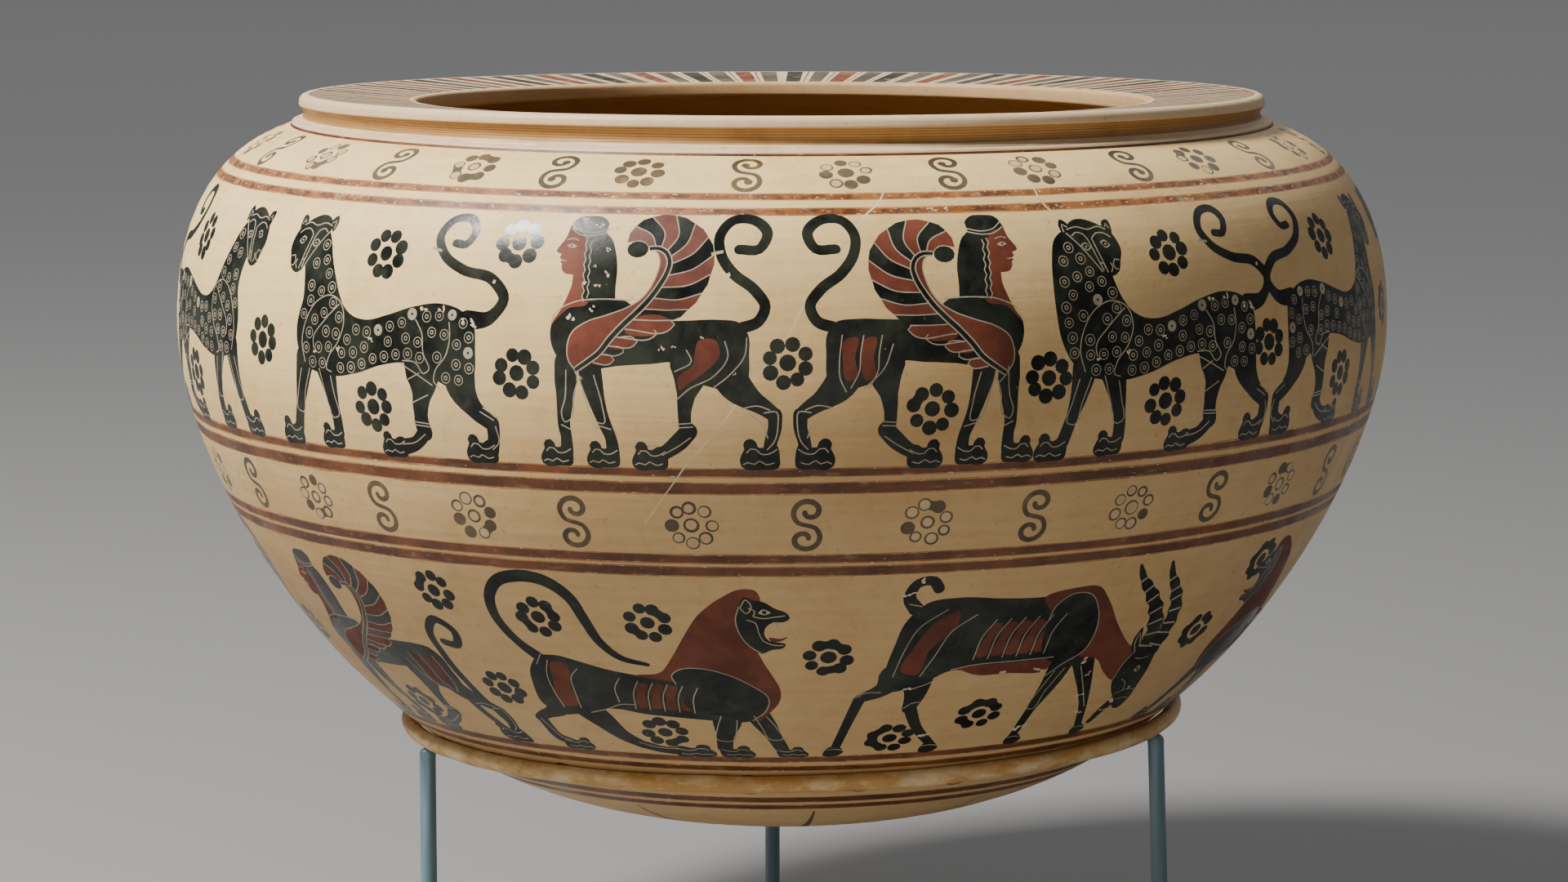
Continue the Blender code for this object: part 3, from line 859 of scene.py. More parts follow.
            for spot, size, tall in (((11.6, 6.6), 1.5, 1.3), ((24.8, 16.4), 1.3, 0.6), ((27.8, 9.6), 1.5, 0.6),
                                     ((37.2, 11.8), 1.3, 1.2), ((36, 8.6), 1, 0.7), ((-30, 54.6), 1.5, 0.5),
                                     ((-27.6, 58), 0.7, 1.6), ((-13.2, 6.4), 1.9, 0.6), ((-2, 28), 1.6, 0.5),
                                     ((8.6, 28), 1.5, 0.5), ((-22.6, 24.6), 1.3, 0.7), ((41.6, 16), 0.6, 1.2),
                                     ((21.2, 29.4), 1, 1.2), ((24, 24.4), 0.6, 1.4)):
                self.chip(spot, size, tall)
        return page


@dataclass
class Rosette:
    """A dot rosette: a ring of touches round a middle one."""

    touches: int = 8
    spread: float = 4.3
    touch: float = 1.42
    seed: int = 0
    ghost: float = 0.0
    squeeze: float = 1.0
    blot: float = 0.15
    join: float = 1.5

    def draw(self) -> Sheet:
        """Returns: the drawing, with touches worn down to their outlines as often as ghost says."""
        dice = random.Random(self.seed)
        page = Sheet()
        turn = dice.uniform(0.0, tau / self.touches)
        spots = [(0.0, 0.0)]
        for k in range(self.touches):
            angle = turn + tau * k / self.touches + dice.uniform(-0.07, 0.07)
            reach = self.spread * dice.uniform(0.95, 1.05)
            spots.append((reach * cos(angle) * self.squeeze, reach * sin(angle)))
        ink = Ink.SLIP if self.ghost else Ink.GLAZE
        for k, spot in enumerate(spots):
            size = (self.touch if k else 1.15 * self.touch) * dice.uniform(0.92, 1.08)
            page.dot(ink, spot, size * self.squeeze, 1.0 / self.squeeze, corners=12)
            if dice.random() < self.ghost:
                shift = (spot[0] + dice.uniform(-0.12, 0.12), spot[1] + dice.uniform(-0.12, 0.12))
                page.dot(Ink.WORN, shift, size * self.squeeze * dice.uniform(0.62, 0.82), 1.0, corners=10)
        for a, b in zip(spots[1:], spots[2:]):
            if dice.random() < self.blot:
                page.line(ink, self.join * self.touch, [a, b])
        return page


@dataclass
class Scroll:
    """An S-shaped double spiral, drawn with a thin brush."""

    height: float = 12.6
    width: float = 1.0
    flip: bool = False
    eye: float = 0.0

    def draw(self) -> Sheet:
        """Returns: the drawing."""
        page = Sheet(grain=0.8)
        k = self.height / 12.6
        sign = -1.0 if self.flip else 1.0
        arm = []
        for step in range(19):
            share = step / 18
            angle = radians(232.0 - 400.0 * share)
            reach = 3.15 - 2.35 * share**0.9
            arm.append((0.45 + 1.08 * reach * cos(angle), 3.05 + reach * sin(angle)))
        path = [(-x, -y) for x, y in reversed(arm)] + [(0.0, 0.0)] + arm
        path = [(sign * k * x, k * y) for x, y in path]
        page.line(Ink.SLIP, (self.width, 1.15 * self.width, 0.9 * self.width, 1.15 * self.width, self.width), path,
                  blunt=True)
        if self.eye:
            for end in (path[0], path[-1]):
                page.dot(Ink.SLIP, end, self.eye)
        return page


def bezier(a: Spot, b: Spot, c: Spot, d: Spot, count: int) -> list[Spot]:
    """Points along a cubic curve, both ends included.

    Args:
        a: its start.
        b: the point that it leaves towards.
        c: the point that it arrives from.
        d: its end.
        count: how many steps it takes.

    Returns:
        The points.
    """
    curve = []
    for step in range(count + 1):
        t = step / count
        s = 1.0 - t
        curve.append(tuple(s**3 * a[k] + 3 * s * s * t * b[k] + 3 * s * t * t * c[k] + t**3 * d[k] for k in (0, 1)))
    return curve


@dataclass(frozen=True)
class ProfilePoint:
    """A point of the turned outline and the way that the surface faces there."""

    radius: float
    height: float
    out: float
    up: float


@dataclass
class BowlShape:
    """The bowl's turned outline in millimetres, with the same sizes as its solid."""

    belly_radius: float = 150.0
    belly_drop: float = 55.6
    tall: float = 180.4
    wall: float = 6.0
    collar_radius: float = 118.0
    collar_drop: float = 6.4
    lip_overhang: float = 1.4
    lip_round: float = 1.8
    lip_width: float = 29.0
    lip_dish: float = 1.7
    mouth_round: float = 1.0
    flank_radius: float = 104.9
    flank_rise: float = 36.0
    clearance: float = 52.0
    shoulder_slope: float = radians(13.0)
    flank_slope: float = radians(43.2)
    reaches: tuple[float, ...] = (15.2, 35.1, 26.6, 33.7, 23.1, 66.7)
    skirt: float = 3.7
    lip_tilt: float = radians(0.7)
    outer: list[Spot] = field(init=False)
    arcs: list[float] = field(init=False)

    def __post_init__(self) -> None:
        """Trace the outer line and measure along it."""
        shoulder, belly_up, belly_down, flank_up, flank_down, base = self.reaches
        collar = (self.collar_radius, self.crest - self.collar_drop)
        widest = (self.belly_radius, self.crest - self.belly_drop)
        flank = (self.flank_radius, self.clearance + self.flank_rise)
        pole = (0.0, self.clearance)
        slope, lean = self.shoulder_slope, self.flank_slope
        first = bezier(collar, (collar[0] + cos(slope) * shoulder, collar[1] - sin(slope) * shoulder),
                       (widest[0], widest[1] + belly_up), widest, 160)
        second = bezier(widest, (widest[0], widest[1] - belly_down),
                        (flank[0] + cos(lean) * flank_up, flank[1] + sin(lean) * flank_up), flank, 200)
        third = bezier(flank, (flank[0] - cos(lean) * flank_down, flank[1] - sin(lean) * flank_down),
                       (base, pole[1]), pole, 240)
        self.outer = first[:-1] + second[:-1] + third
        self.arcs = [0.0]
        for a, b in zip(self.outer, self.outer[1:]):
            self.arcs.append(self.arcs[-1] + dist(a, b))

    @property
    def crest(self) -> float:
        """The height of the top of the lip."""
        return self.clearance + self.tall

    @property
    def length(self) -> float:
        """The outer line's whole length, from the collar to the pole."""
        return self.arcs[-1]

    def at(self, arc: float) -> ProfilePoint:
        """Find a point of the outer line.

        Args:
            arc: its length from the collar.

        Returns:
            The point.
        """
        arc = min(max(arc, 0.0), self.length)
        i = min(max(bisect_right(self.arcs, arc) - 1, 0), len(self.arcs) - 2)
        share = (arc - self.arcs[i]) / (self.arcs[i + 1] - self.arcs[i])
        before, a, b = self.outer[max(i - 1, 0)], self.outer[i], self.outer[i + 1]
        after = self.outer[min(i + 2, len(self.outer) - 1)]
        near = (b[0] - before[0], b[1] - before[1])
        far = (after[0] - a[0], after[1] - a[1])
        way = tuple(near[k] / hypot(*near) * (1 - share) + far[k] / hypot(*far) * share for k in (0, 1))
        size = hypot(*way)
        return ProfilePoint(
            a[0] + share * (b[0] - a[0]), a[1] + share * (b[1] - a[1]), -way[1] / size, way[0] / size
        )

    def arc_at(self, drop: float) -> float:
        """Find how far along the outer line a depth is reached.

        Args:
            drop: the depth below the crest.

        Returns:
            The length from the collar.
        """
        height = self.crest - drop
        for i, (a, b) in enumerate(zip(self.outer, self.outer[1:])):
            if a[1] >= height >= b[1] and a[1] > b[1]:
                return self.arcs[i] + (a[1] - height) / (a[1] - b[1]) * (self.arcs[i + 1] - self.arcs[i])
        return self.length

    def cavity(self, count: int) -> list[Spot]:
        """The inside line, one wall within the outer one.

        Args:
            count: how many steps it takes.

        Returns:
            Its points, from the pole up to under the lip.
        """
        line = []
        for step in range(count + 1):
            point = self.at(self.length * (1.0 - step / count))
            line.append((max(point.radius - self.wall * point.out, 0.0), point.height - self.wall * point.up))
        line[0] = (0.0, self.clearance + self.wall)
        return line

    def lip(self) -> dict[str, list[Spot]]:
        """Returns: the lip's lines by name, from the underside of the mouth out to the shoulder."""
        outer = self.collar_radius + self.lip_overhang
        mouth = outer - self.lip_width
        ceiling = self.crest - self.collar_drop - self.wall / cos(self.shoulder_slope)
        underside = ceiling + (self.collar_radius - mouth) * tan(self.shoulder_slope)
        top = self.crest - self.lip_dish
        edge = [(mouth + 0.9, underside - 0.2), (mouth + 0.25, underside + 0.2), (mouth, underside + 0.9)]
        edge += [(mouth, top - 1.8), (mouth, top - self.mouth_round)]
        for k in range(1, 5):
            angle = k * pi / 8
            edge.append((mouth + self.mouth_round * (1 - cos(angle)), top - self.mouth_round * (1 - sin(angle))))
        crest = []
        for k in range(9):
            angle = pi / 2 - k * pi / 16
            crest.append((outer - self.lip_round * (1 - cos(angle)), self.crest - self.lip_round * (1 - sin(angle))))
        start = self.at(self.skirt)
        hollow = [crest[-1]]
        for reach, drop in ((0.05, 2.4), (-0.35, 3.1), (-0.85, 3.8), (-1.15, 4.5), (-1.05, 5.1), (-0.5, 5.6),
                            (0.5, 6.0), (1.3, 6.2), (1.75, 6.45), (1.9, 6.8)):
            hollow.append((outer + reach, self.crest - drop))
        hollow = smooth([*hollow, (start.radius, start.height)], False, 0.13)
        return {"edge": edge, "crest": crest, "hollow": hollow}

    def lip_zones(self) -> list[tuple[Ink, list[Spot]]]:
        """The outside of the lip in strips: a cream bead, a tan hollow with wheel marks, a ledge and a brown line; the
        hollow's tan is partly painted shade, as it faces down.
        """
        grooves = ((3.02, 3.14), (3.52, 3.60), (3.92, 4.08), (4.40, 4.47), (4.70, 4.86), (5.12, 5.20))
        strips: list[tuple[Ink, list[Spot]]] = []
        line = self.lip()["hollow"]
        for a, b in zip(line, line[1:]):
            drop = self.crest - 0.5 * (a[1] + b[1])
            if drop < 2.7 or 5.45 < drop < 6.75:
                ink = Ink.CREST
            elif drop > 6.75:
                ink = Ink.LINE
            else:
                ink = Ink.LIP_GROOVE if any(low < drop < high for low, high in grooves) else Ink.LIP_FACE
            if not strips or strips[-1][0] is not ink:
                strips.append((ink, [a]))
            strips[-1][1].append(b)
        return strips


@dataclass
class Skin:
    """A part of the bowl's surface that carries paint, cut along the edges of the paint.

    Across, it runs once round the bowl from the back, and down, from top to bottom.
    """

    reach: float
    top: float
    bottom: float
    place: Callable[[float, float], ProfilePoint]
    base: Ink
    row: float = 5.0
    top_steps: int = 144
    bottom_steps: int = 144
    thin_out: Sequence[tuple[float, int]] = ()
    sheet: Sheet = field(default_factory=Sheet)
    ribbon_steps: int = 216

    def band(self, ink: Ink, high: float, low: float, wobble: float = 0.12, seed: int = 0, lift: int = 0) -> None:
        """Brush a line right round the bowl, its two edges a little unsteady.

        Args:
            ink: its finish.
            high: where its upper edge runs.
            low: where its lower edge runs.
            wobble: how far the edges stray.
            seed: which of the unsteady hands draws it.
            lift: how far over the ink's usual layer it lies.
        """
        dice = random.Random(seed)
        waves = [
            [(dice.randint(3, 60), dice.uniform(0, tau), dice.uniform(0.2, 1.0)) for _ in range(9)]
            for _ in ("high", "low")
        ]
        edges = []
        for edge, where in ((0, high), (1, low)):
            run = []
            for k in range(self.ribbon_steps + 1):
                angle = -pi + tau * k / self.ribbon_steps
                stray = sum(size * sin(turns * angle + phase) for turns, phase, size in waves[edge])
                run.append((self.reach * angle, where + wobble * 0.4 * stray))
            edges.append(run)
        for (a, b), (c, d) in zip(zip(edges[0], edges[0][1:]), zip(edges[1], edges[1][1:])):
            self.sheet.patches.append(Patch(ink, ink.layer + lift, (a, b, d, c)))

    def frame(self) -> tuple[list[Spot], list[Spot]]:
        """Returns: the border's points in order, and the loose points within it."""
        left, right = -pi * self.reach, pi * self.reach
        rows = max(1, round((self.bottom - self.top) / self.row))
        levels = [self.top + (self.bottom - self.top) * k / rows for k in range(rows + 1)]
        border = [(left + (right - left) * k / self.top_steps, self.top) for k in range(self.top_steps + 1)]
        border += [(right, level) for level in levels[1:-1]]
        steps = self.bottom_steps
        border += [(right - (right - left) * k / steps, self.bottom) for k in range(steps + 1)]
        border += [(left, level) for level in levels[-2:0:-1]]
        loose = []
        for i, level in enumerate(levels[1:-1]):
            steps = self.top_steps
            for start, fewer in self.thin_out:
                if level > start:
                    steps = fewer
            for k in range(steps):
                share = (k + (0.5 if i % 2 else 0.0)) / steps
                if share > 0.001:
                    loose.append((left + (right - left) * share, level))
        return border, loose

    def lay(self, bm: bmesh.types.BMesh, faces_way: bmesh.types.BMLayerItem) -> int:
        """Cut the surface along every patch and add it to the bowl.

        Args:
            bm: the bowl's mesh.
            faces_way: the layer that keeps how the surface faces, as (out, up, 0).

        Returns:
            How many triangles were added.
        """
        border, loose = self.frame()
        spots: list[Vector] = []
        numbers: dict[Spot, int] = {}

        def number(spot: Spot) -> int:
            """The number of a spot, a new one for a new spot."""
            key = (round(spot[0], 5), round(spot[1], 5))
            if key not in numbers:
                numbers[key] = len(spots)
                spots.append(Vector(key))
            return numbers[key]

        outlines = [[number(spot) for spot in border]]
        layers = [(-1, self.base)]
        bounds = [(-inf, inf, -inf, inf)]
        for patch in self.sheet.patches:
            size = area(patch.outline)
            if abs(size) < 1e-4:
                continue
            ring = [number(spot) for spot in patch.outline]
            ring = [n for k, n in enumerate(ring) if n != ring[k - 1]]
            if len(set(ring)) < 3:
                continue
            outlines.append(ring if size > 0 else ring[::-1])
            layers.append((patch.layer, patch.ink))
            across, down = zip(*patch.outline)
            bounds.append((min(across), max(across), min(down), max(down)))
        for spot in loose:
            number(spot)
        flat, _, faces, _, _, cover = delaunay_2d_cdt(spots, [], outlines, 0, 1e-5, True)
        made = []
        for spot in flat:
            angle = spot.x / self.reach
            point = self.place(angle, spot.y)
            vert = bm.verts.new(
                (point.radius * sin(angle) * MM, -point.radius * cos(angle) * MM, point.height * MM)
            )
            vert[faces_way] = (point.out, point.up, 0.0)
            made.append(vert)
        count = 0
        for corners, ids in zip(faces, cover):
            if 0 not in ids:
                continue
            x, y = (sum(flat[corner][k] for corner in corners) / 3 for k in (0, 1))
            paint = max(
                (layers[i] for i in ids if bounds[i][0] <= x <= bounds[i][1] and bounds[i][2] <= y <= bounds[i][3]),
                key=lambda item: item[0],
            )
            face = bm.faces.new([made[corner] for corner in reversed(corners)])
            face.material_index = INKS.index(paint[1])
            face.smooth = True
            count += 1
        return count


class Bench:
    """The wiring of one material's nodes."""

    def __init__(self, name: str) -> None:
        """Start a material with its shader and the object's own coordinates."""
        self.material = bpy.data.materials.new(name)
        self.material.use_nodes = True
        self.nodes = self.material.node_tree.nodes
        self.links = self.material.node_tree.links
        self.shader = self.nodes["Principled BSDF"]
        self.where = self.nodes.new("ShaderNodeTexCoord").outputs["Object"]

    def noise(self, scale: float, detail: float = 3.0, stretch: Sequence[float] = (1, 1, 1), shift: float = 0.0,
              rough: float = 0.55) -> Socket:
        """A cloudy value from 0 to 1.

        Args:
            scale: how many clouds a metre holds.
            detail: how much finer cloud is in them.
            stretch: how much closer they lie along each axis.
            shift: moves the pattern, so that no two are alike.
            rough: how strong the finer clouds are.

        Returns:
            The value's socket.
        """
        mapping = self.nodes.new("ShaderNodeMapping")
        mapping.inputs["Scale"].default_value = stretch
        mapping.inputs["Location"].default_value = (shift, 0.7 * shift, 1.3 * shift)
        self.links.new(self.where, mapping.inputs["Vector"])
        cloud = self.nodes.new("ShaderNodeTexNoise")
        cloud.inputs["Scale"].default_value = scale
        cloud.inputs["Detail"].default_value = detail
        cloud.inputs["Roughness"].default_value = rough
        self.links.new(mapping.outputs["Vector"], cloud.inputs["Vector"])
        return cloud.outputs["Fac"]

    def ramp(self, value: Socket, low: float, high: float, start: float = 0.0, end: float = 1.0) -> Socket:
        """Stretch a part of a value.

        Args:
            value: the value.
            low: where the part starts.
            high: where it ends.
            start: what low becomes.
            end: what high becomes.

        Returns:
            The new value's socket.
        """
        node = self.nodes.new("ShaderNodeMapRange")
        node.interpolation_type = "SMOOTHSTEP"
        for name, number in (("From Min", low), ("From Max", high), ("To Min", start), ("To Max", end)):
            node.inputs[name].default_value = number
        self.links.new(value, node.inputs["Value"])
        return node.outputs["Result"]

    def height(self, low: float, high: float) -> Socket:
        """A value that goes from 0 to 1 with height, later on the side towards +X, away from the key lamp; the clay's
        painted light and shade follow it.

        Args:
            low: the height where it leaves 0, in metres.
            high: the height where it reaches 1.

        Returns:
            The value's socket.
        """
        slant = self.nodes.new("ShaderNodeVectorMath")
        slant.operation = "DOT_PRODUCT"
        slant.inputs[1].default_value = (-0.28, 0.0, 1.0)
        self.links.new(self.where, slant.inputs[0])
        return self.ramp(slant.outputs["Value"], low, high)

    def mix(self, share: Socket | float, first: Socket | Colour, second: Socket | Colour, how: str = "MIX") -> Socket:
        """Blend two colours.

        Args:
            share: how much of the second is taken.
            first: the first colour.
            second: the second colour.
            how: the kind of blend.

        Returns:
            The blend's socket.
        """
        node = self.nodes.new("ShaderNodeMix")
        node.data_type = "RGBA"
        node.blend_type = how
        for index, value in ((0, share), (6, first), (7, second)):
            socket = node.inputs[index]
            if isinstance(value, Socket):
                self.links.new(value, socket)
            elif isinstance(value, float):
                socket.default_value = value
            else:
                socket.default_value = (*value, 1.0)
        return node.outputs[2]

    def both(self, first: Socket, second: Socket | float, how: str = "MULTIPLY") -> Socket:
        """Join two values.

        Args:
            first: the first value.
            second: the second value.
            how: the kind of sum.

        Returns:
            The result's socket.
        """
        node = self.nodes.new("ShaderNodeMath")
        node.operation = how
        for index, value in ((0, first), (1, second)):
            if isinstance(value, Socket):
                self.links.new(value, node.inputs[index])
            else:
                node.inputs[index].default_value = value
        return node.outputs[0]

    def finish(self, colour: Socket | Colour, rough: Socket | float, bump: Socket | None = None,
               depth: float = 0.0001, strength: float = 0.3, gloss: float = 0.5) -> bpy.types.Material:
        """Wire the shader up.

        Args:
            colour: the base colour.
            rough: the roughness.
            bump: a value to raise the surface by.
            depth: how far the bump stands, in metres.
            strength: how much of it shows.
            gloss: the specular level.

        Returns:
            The material.
        """
        for name, value in (("Base Color", colour), ("Roughness", rough)):
            socket = self.shader.inputs[name]
            if isinstance(value, Socket):
                self.links.new(value, socket)
            else:
                socket.default_value = (*value, 1.0) if name == "Base Color" else value
        self.shader.inputs["Specular IOR Level"].default_value = gloss
        if bump is not None:
            node = self.nodes.new("ShaderNodeBump")
            node.inputs["Strength"].default_value = strength
            node.inputs["Distance"].default_value = depth
            self.links.new(bump, node.inputs["Height"])
            self.links.new(node.outputs["Normal"], self.shader.inputs["Normal"])
        return self.material


@dataclass(frozen=True)
class ClaySlip:
    """Buff clay with wheel streaks, specks and old stains; cream high and on the -X side, browner low and towards +X,
    as painted light and shade that follow the key lamp.
    """

    name: str = "clay"
    # the pale colour is painted light and the second colour painted shade; foot and top are the slanted heights where
    # one gives way to the other
    pale: Colour = (0.86, 0.650, 0.310)
    deep: Colour = (0.635, 0.430, 0.205)
    stain: Colour = (0.50, 0.28, 0.11)
    speck: Colour = (0.22, 0.15, 0.08)
    top: float = 0.232
    foot: float = 0.150
    staining: float = 0.36
    gloss: float = 0.2

    def make(self) -> bpy.types.Material:
        """Returns: the material."""
        bench = Bench(self.name)
        # painted light and shade: pale where the key lamp falls, high and on the -X side, browner low and towards +X
        rise = bench.height(self.foot, self.top)
        body = bench.mix(rise, self.deep, self.pale)
        cloud = bench.ramp(bench.noise(16.0, 4.0, shift=2.1), 0.35, 0.70)
        body = bench.mix(bench.both(cloud, 0.45), body, bench.mix(1.0, body, (0.84, 0.76, 0.64), "MULTIPLY"))
        streak = bench.ramp(bench.noise(1.0, 5.0, (22.0, 22.0, 640.0), 4.7), 0.36, 0.66)
        body = bench.mix(bench.both(streak, 0.26), body, bench.mix(1.0, body, (0.80, 0.70, 0.57), "MULTIPLY"))
        blot = bench.ramp(bench.noise(46.0, 6.0, shift=8.3, rough=0.7), 0.50, 0.76)
        body = bench.mix(bench.both(blot, self.staining), body, self.stain)
        mottle = bench.ramp(bench.noise(210.0, 5.0, shift=3.9, rough=0.7), 0.42, 0.68)
        body = bench.mix(bench.both(mottle, 0.22), body, bench.mix(1.0, body, (0.74, 0.62, 0.47), "MULTIPLY"))
        speck = bench.ramp(bench.noise(1150.0, 2.0, shift=1.9), 0.68, 0.79)
        body = bench.mix(bench.both(speck, 0.5), body, self.speck)
        pit = bench.ramp(bench.noise(420.0, 3.0, shift=5.5), 0.65, 0.74)
        body = bench.mix(bench.both(pit, 0.3), body, self.speck)
        rough = bench.ramp(bench.noise(60.0, 3.0, shift=3.3), 0.3, 0.7, 0.40, 0.58)
        wheel = bench.noise(1.0, 3.0, (14.0, 14.0, 420.0), 6.1)
        grain = bench.both(wheel, bench.both(bench.noise(900.0, 2.0), 0.35), "ADD")
        return bench.finish(body, rough, grain, 0.00022, 0.35, self.gloss)


@dataclass(frozen=True)
class SlipPaint:
    """A painted slip: two shades in clouds, rubbed thin in places and flaked to the clay."""

    name: str
    dark: Colour
    light: Colour
    rubbed: Colour = (0.60, 0.44, 0.26)
    cloud: float = 70.0
    rub: float = 0.25
    flake: float = 0.72
    flake_scale: float = 620.0
    rough: tuple[float, float] = (0.30, 0.5)
    gloss: float = 0.5
    stretch: tuple[float, float, float] = (1.0, 1.0, 1.0)

    def make(self) -> bpy.types.Material:
        """Returns: the material."""
        bench = Bench(self.name)
        cloud = bench.ramp(bench.noise(self.cloud, 5.0, shift=3.7, rough=0.6), 0.36, 0.66)
        body = bench.mix(cloud, self.dark, self.light)
        thin = bench.ramp(bench.noise(240.0, 4.0, self.stretch, 9.2, 0.62), 0.54, 0.76)
        body = bench.mix(bench.both(thin, self.rub), body, self.rubbed)
        edge = self.flake
        flake = bench.ramp(bench.noise(self.flake_scale, 3.0, self.stretch, 1.4, 0.6), edge, edge + 0.03)
        body = bench.mix(flake, body, self.rubbed)
        rough = bench.ramp(bench.noise(90.0, 3.0, shift=7.7), 0.3, 0.7, *self.rough)
        lay = bench.both(bench.noise(520.0, 3.0, shift=2.2), bench.both(flake, -0.6), "ADD")
        return bench.finish(body, rough, lay, 0.00012, 0.35, self.gloss)


@dataclass(frozen=True)
class RingPaint:
    """Ochre brushed on the ring, with cream mottling where it caught the light clay tone."""

    name: str = "ring_paint"
    ochre: Colour = (0.52, 0.27, 0.06)
    cream: Colour = (0.74, 0.56, 0.30)
    grime: Colour = (0.20, 0.12, 0.05)

    def make(self) -> bpy.types.Material:
        """Returns: the material."""
        bench = Bench(self.name)
        cloud = bench.ramp(bench.noise(55.0, 5.0, (1.0, 1.0, 2.6), 3.1, 0.65), 0.42, 0.66)
        body = bench.mix(cloud, self.ochre, self.cream)
        fleck = bench.ramp(bench.noise(300.0, 4.0, (1.0, 1.0, 1.8), 6.4), 0.55, 0.72)
        body = bench.mix(bench.both(fleck, 0.5), body, self.cream)
        dirt = bench.ramp(bench.noise(170.0, 5.0, shift=8.8, rough=0.7), 0.60, 0.76)
        body = bench.mix(bench.both(dirt, 0.5), body, self.grime)
        lay = bench.noise(330.0, 4.0, (1.0, 1.0, 1.6), 5.2)
        return bench.finish(body, 0.42, lay, 0.00035, 0.5, 0.5)


@dataclass(frozen=True)
class LegPaint:
    """Blue-grey enamel on the legs, with brush marks down them and a few rubbed specks."""

    name: str = "leg_paint"
    body: Colour = (0.10, 0.175, 0.215)
    worn: Colour = (0.17, 0.26, 0.31)
    speck: Colour = (0.45, 0.46, 0.42)

    def make(self) -> bpy.types.Material:
        """Returns: the material."""
        bench = Bench(self.name)
        brush = bench.ramp(bench.noise(1.0, 4.0, (700.0, 700.0, 26.0), 2.6), 0.35, 0.7)
        body = bench.mix(brush, self.body, self.worn)
        speck = bench.ramp(bench.noise(700.0, 3.0, shift=4.4), 0.73, 0.78)
        body = bench.mix(bench.both(speck, 0.6), body, self.speck)
        lay = bench.noise(1.0, 4.0, (900.0, 900.0, 60.0), 1.2)
        return bench.finish(body, 0.36, lay, 0.00012, 0.4, 0.5)


def bowl_finishes() -> dict[Ink, ClaySlip | SlipPaint]:
    """Returns: the finish for each ink of the bowl."""
    grain = (1.0, 1.0, 3.0)
    matt = (0.7, 0.85)
    return {
        Ink.CLAY: ClaySlip(),
        Ink.FRINGE: SlipPaint("line_fringe", (0.30, 0.120, 0.028), (0.45, 0.215, 0.065), (0.64, 0.48, 0.28), rub=0.5,
                              flake=0.63, stretch=grain, rough=(0.4, 0.55)),
        Ink.LINE: SlipPaint("line_brown", (0.082, 0.025, 0.008), (0.185, 0.058, 0.017), (0.42, 0.24, 0.11), rub=0.4,
                            flake=0.68, stretch=grain, rough=(0.34, 0.5)),
        Ink.AMBER: SlipPaint("line_amber", (0.10, 0.030, 0.008), (0.32, 0.112, 0.026), (0.72, 0.52, 0.31), cloud=240.0,
                             rub=0.4, flake=0.635, flake_scale=760.0, stretch=grain, rough=(0.38, 0.55)),
        Ink.SLIP: SlipPaint("thin_slip", (0.055, 0.038, 0.017), (0.135, 0.088, 0.038), (0.36, 0.24, 0.11), rub=0.4,
                            flake=0.72),
        Ink.WORN: SlipPaint("worn_ghost", (0.52, 0.345, 0.165), (0.62, 0.44, 0.235), (0.60, 0.44, 0.26), rub=0.2,
                            flake=0.8, rough=(0.45, 0.6)),
        Ink.GLAZE: SlipPaint("black_slip", (0.0040, 0.0052, 0.0044), (0.0240, 0.0285, 0.0190), (0.36, 0.28, 0.17),
                             cloud=95.0, rub=0.06, flake=0.735, flake_scale=820.0, rough=(0.22, 0.36), gloss=0.28),
        Ink.RED: SlipPaint("added_red", (0.098, 0.021, 0.009), (0.185, 0.047, 0.022), (0.04, 0.02, 0.015), rub=0.4,
                           flake=0.76, rough=(0.5, 0.66), gloss=0.35),
        Ink.CUT: SlipPaint("incision", (0.30, 0.245, 0.165), (0.47, 0.395, 0.275), (0.20, 0.15, 0.09), rub=0.4,
                           flake=0.8, rough=(0.55, 0.7), gloss=0.3),
        Ink.CHIP: SlipPaint("bare_chip", (0.58, 0.42, 0.25), (0.72, 0.56, 0.37), rub=0.2, flake=0.8,
                            rough=(0.6, 0.75), gloss=0.3),
        Ink.CRACK: SlipPaint("mended_crack", (0.60, 0.45, 0.26), (0.74, 0.60, 0.40), (0.40, 0.27, 0.14), rub=0.4,
                             flake=0.8, rough=(0.5, 0.7), gloss=0.3),
        Ink.BAR_GREY: SlipPaint("bar_grey", (0.085, 0.066, 0.050), (0.150, 0.120, 0.092), rub=0.3, flake=0.70,
                                rough=matt, gloss=0.12),
        Ink.BAR_DARK: SlipPaint("bar_dark", (0.028, 0.030, 0.024), (0.065, 0.062, 0.048), rub=0.25, flake=0.70,
                                rough=matt, gloss=0.12),
        Ink.BAR_RED: SlipPaint("bar_red", (0.150, 0.045, 0.024), (0.235, 0.085, 0.048), rub=0.3, flake=0.70,
                               rough=matt, gloss=0.12),
        # the inside is coloured a darker brown than the outside clay
        Ink.INSIDE: ClaySlip("inside_wash", (0.46, 0.31, 0.155), (0.34, 0.20, 0.085), (0.14, 0.07, 0.03), staining=0.5),
        Ink.MOUTH: ClaySlip("mouth_edge", (0.60, 0.41, 0.215), (0.50, 0.32, 0.15), staining=0.4, gloss=0.2),
        Ink.CREST: ClaySlip("lip_crest", (0.73, 0.565, 0.365), (0.60, 0.43, 0.235), staining=0.35, gloss=0.3),
        # the tan of lip_face, which lip_groove darkens further in thin rings, is partly painted shade in the lip's
        # hollow that faces down
        Ink.LIP_FACE: ClaySlip("lip_face", (0.46, 0.265, 0.098), (0.42, 0.24, 0.09), (0.30, 0.13, 0.03), staining=0.7),
        Ink.LIP_GROOVE: ClaySlip("lip_groove", (0.26, 0.135, 0.045), (0.24, 0.12, 0.04), (0.14, 0.06, 0.02),
                                 staining=0.6),
    }


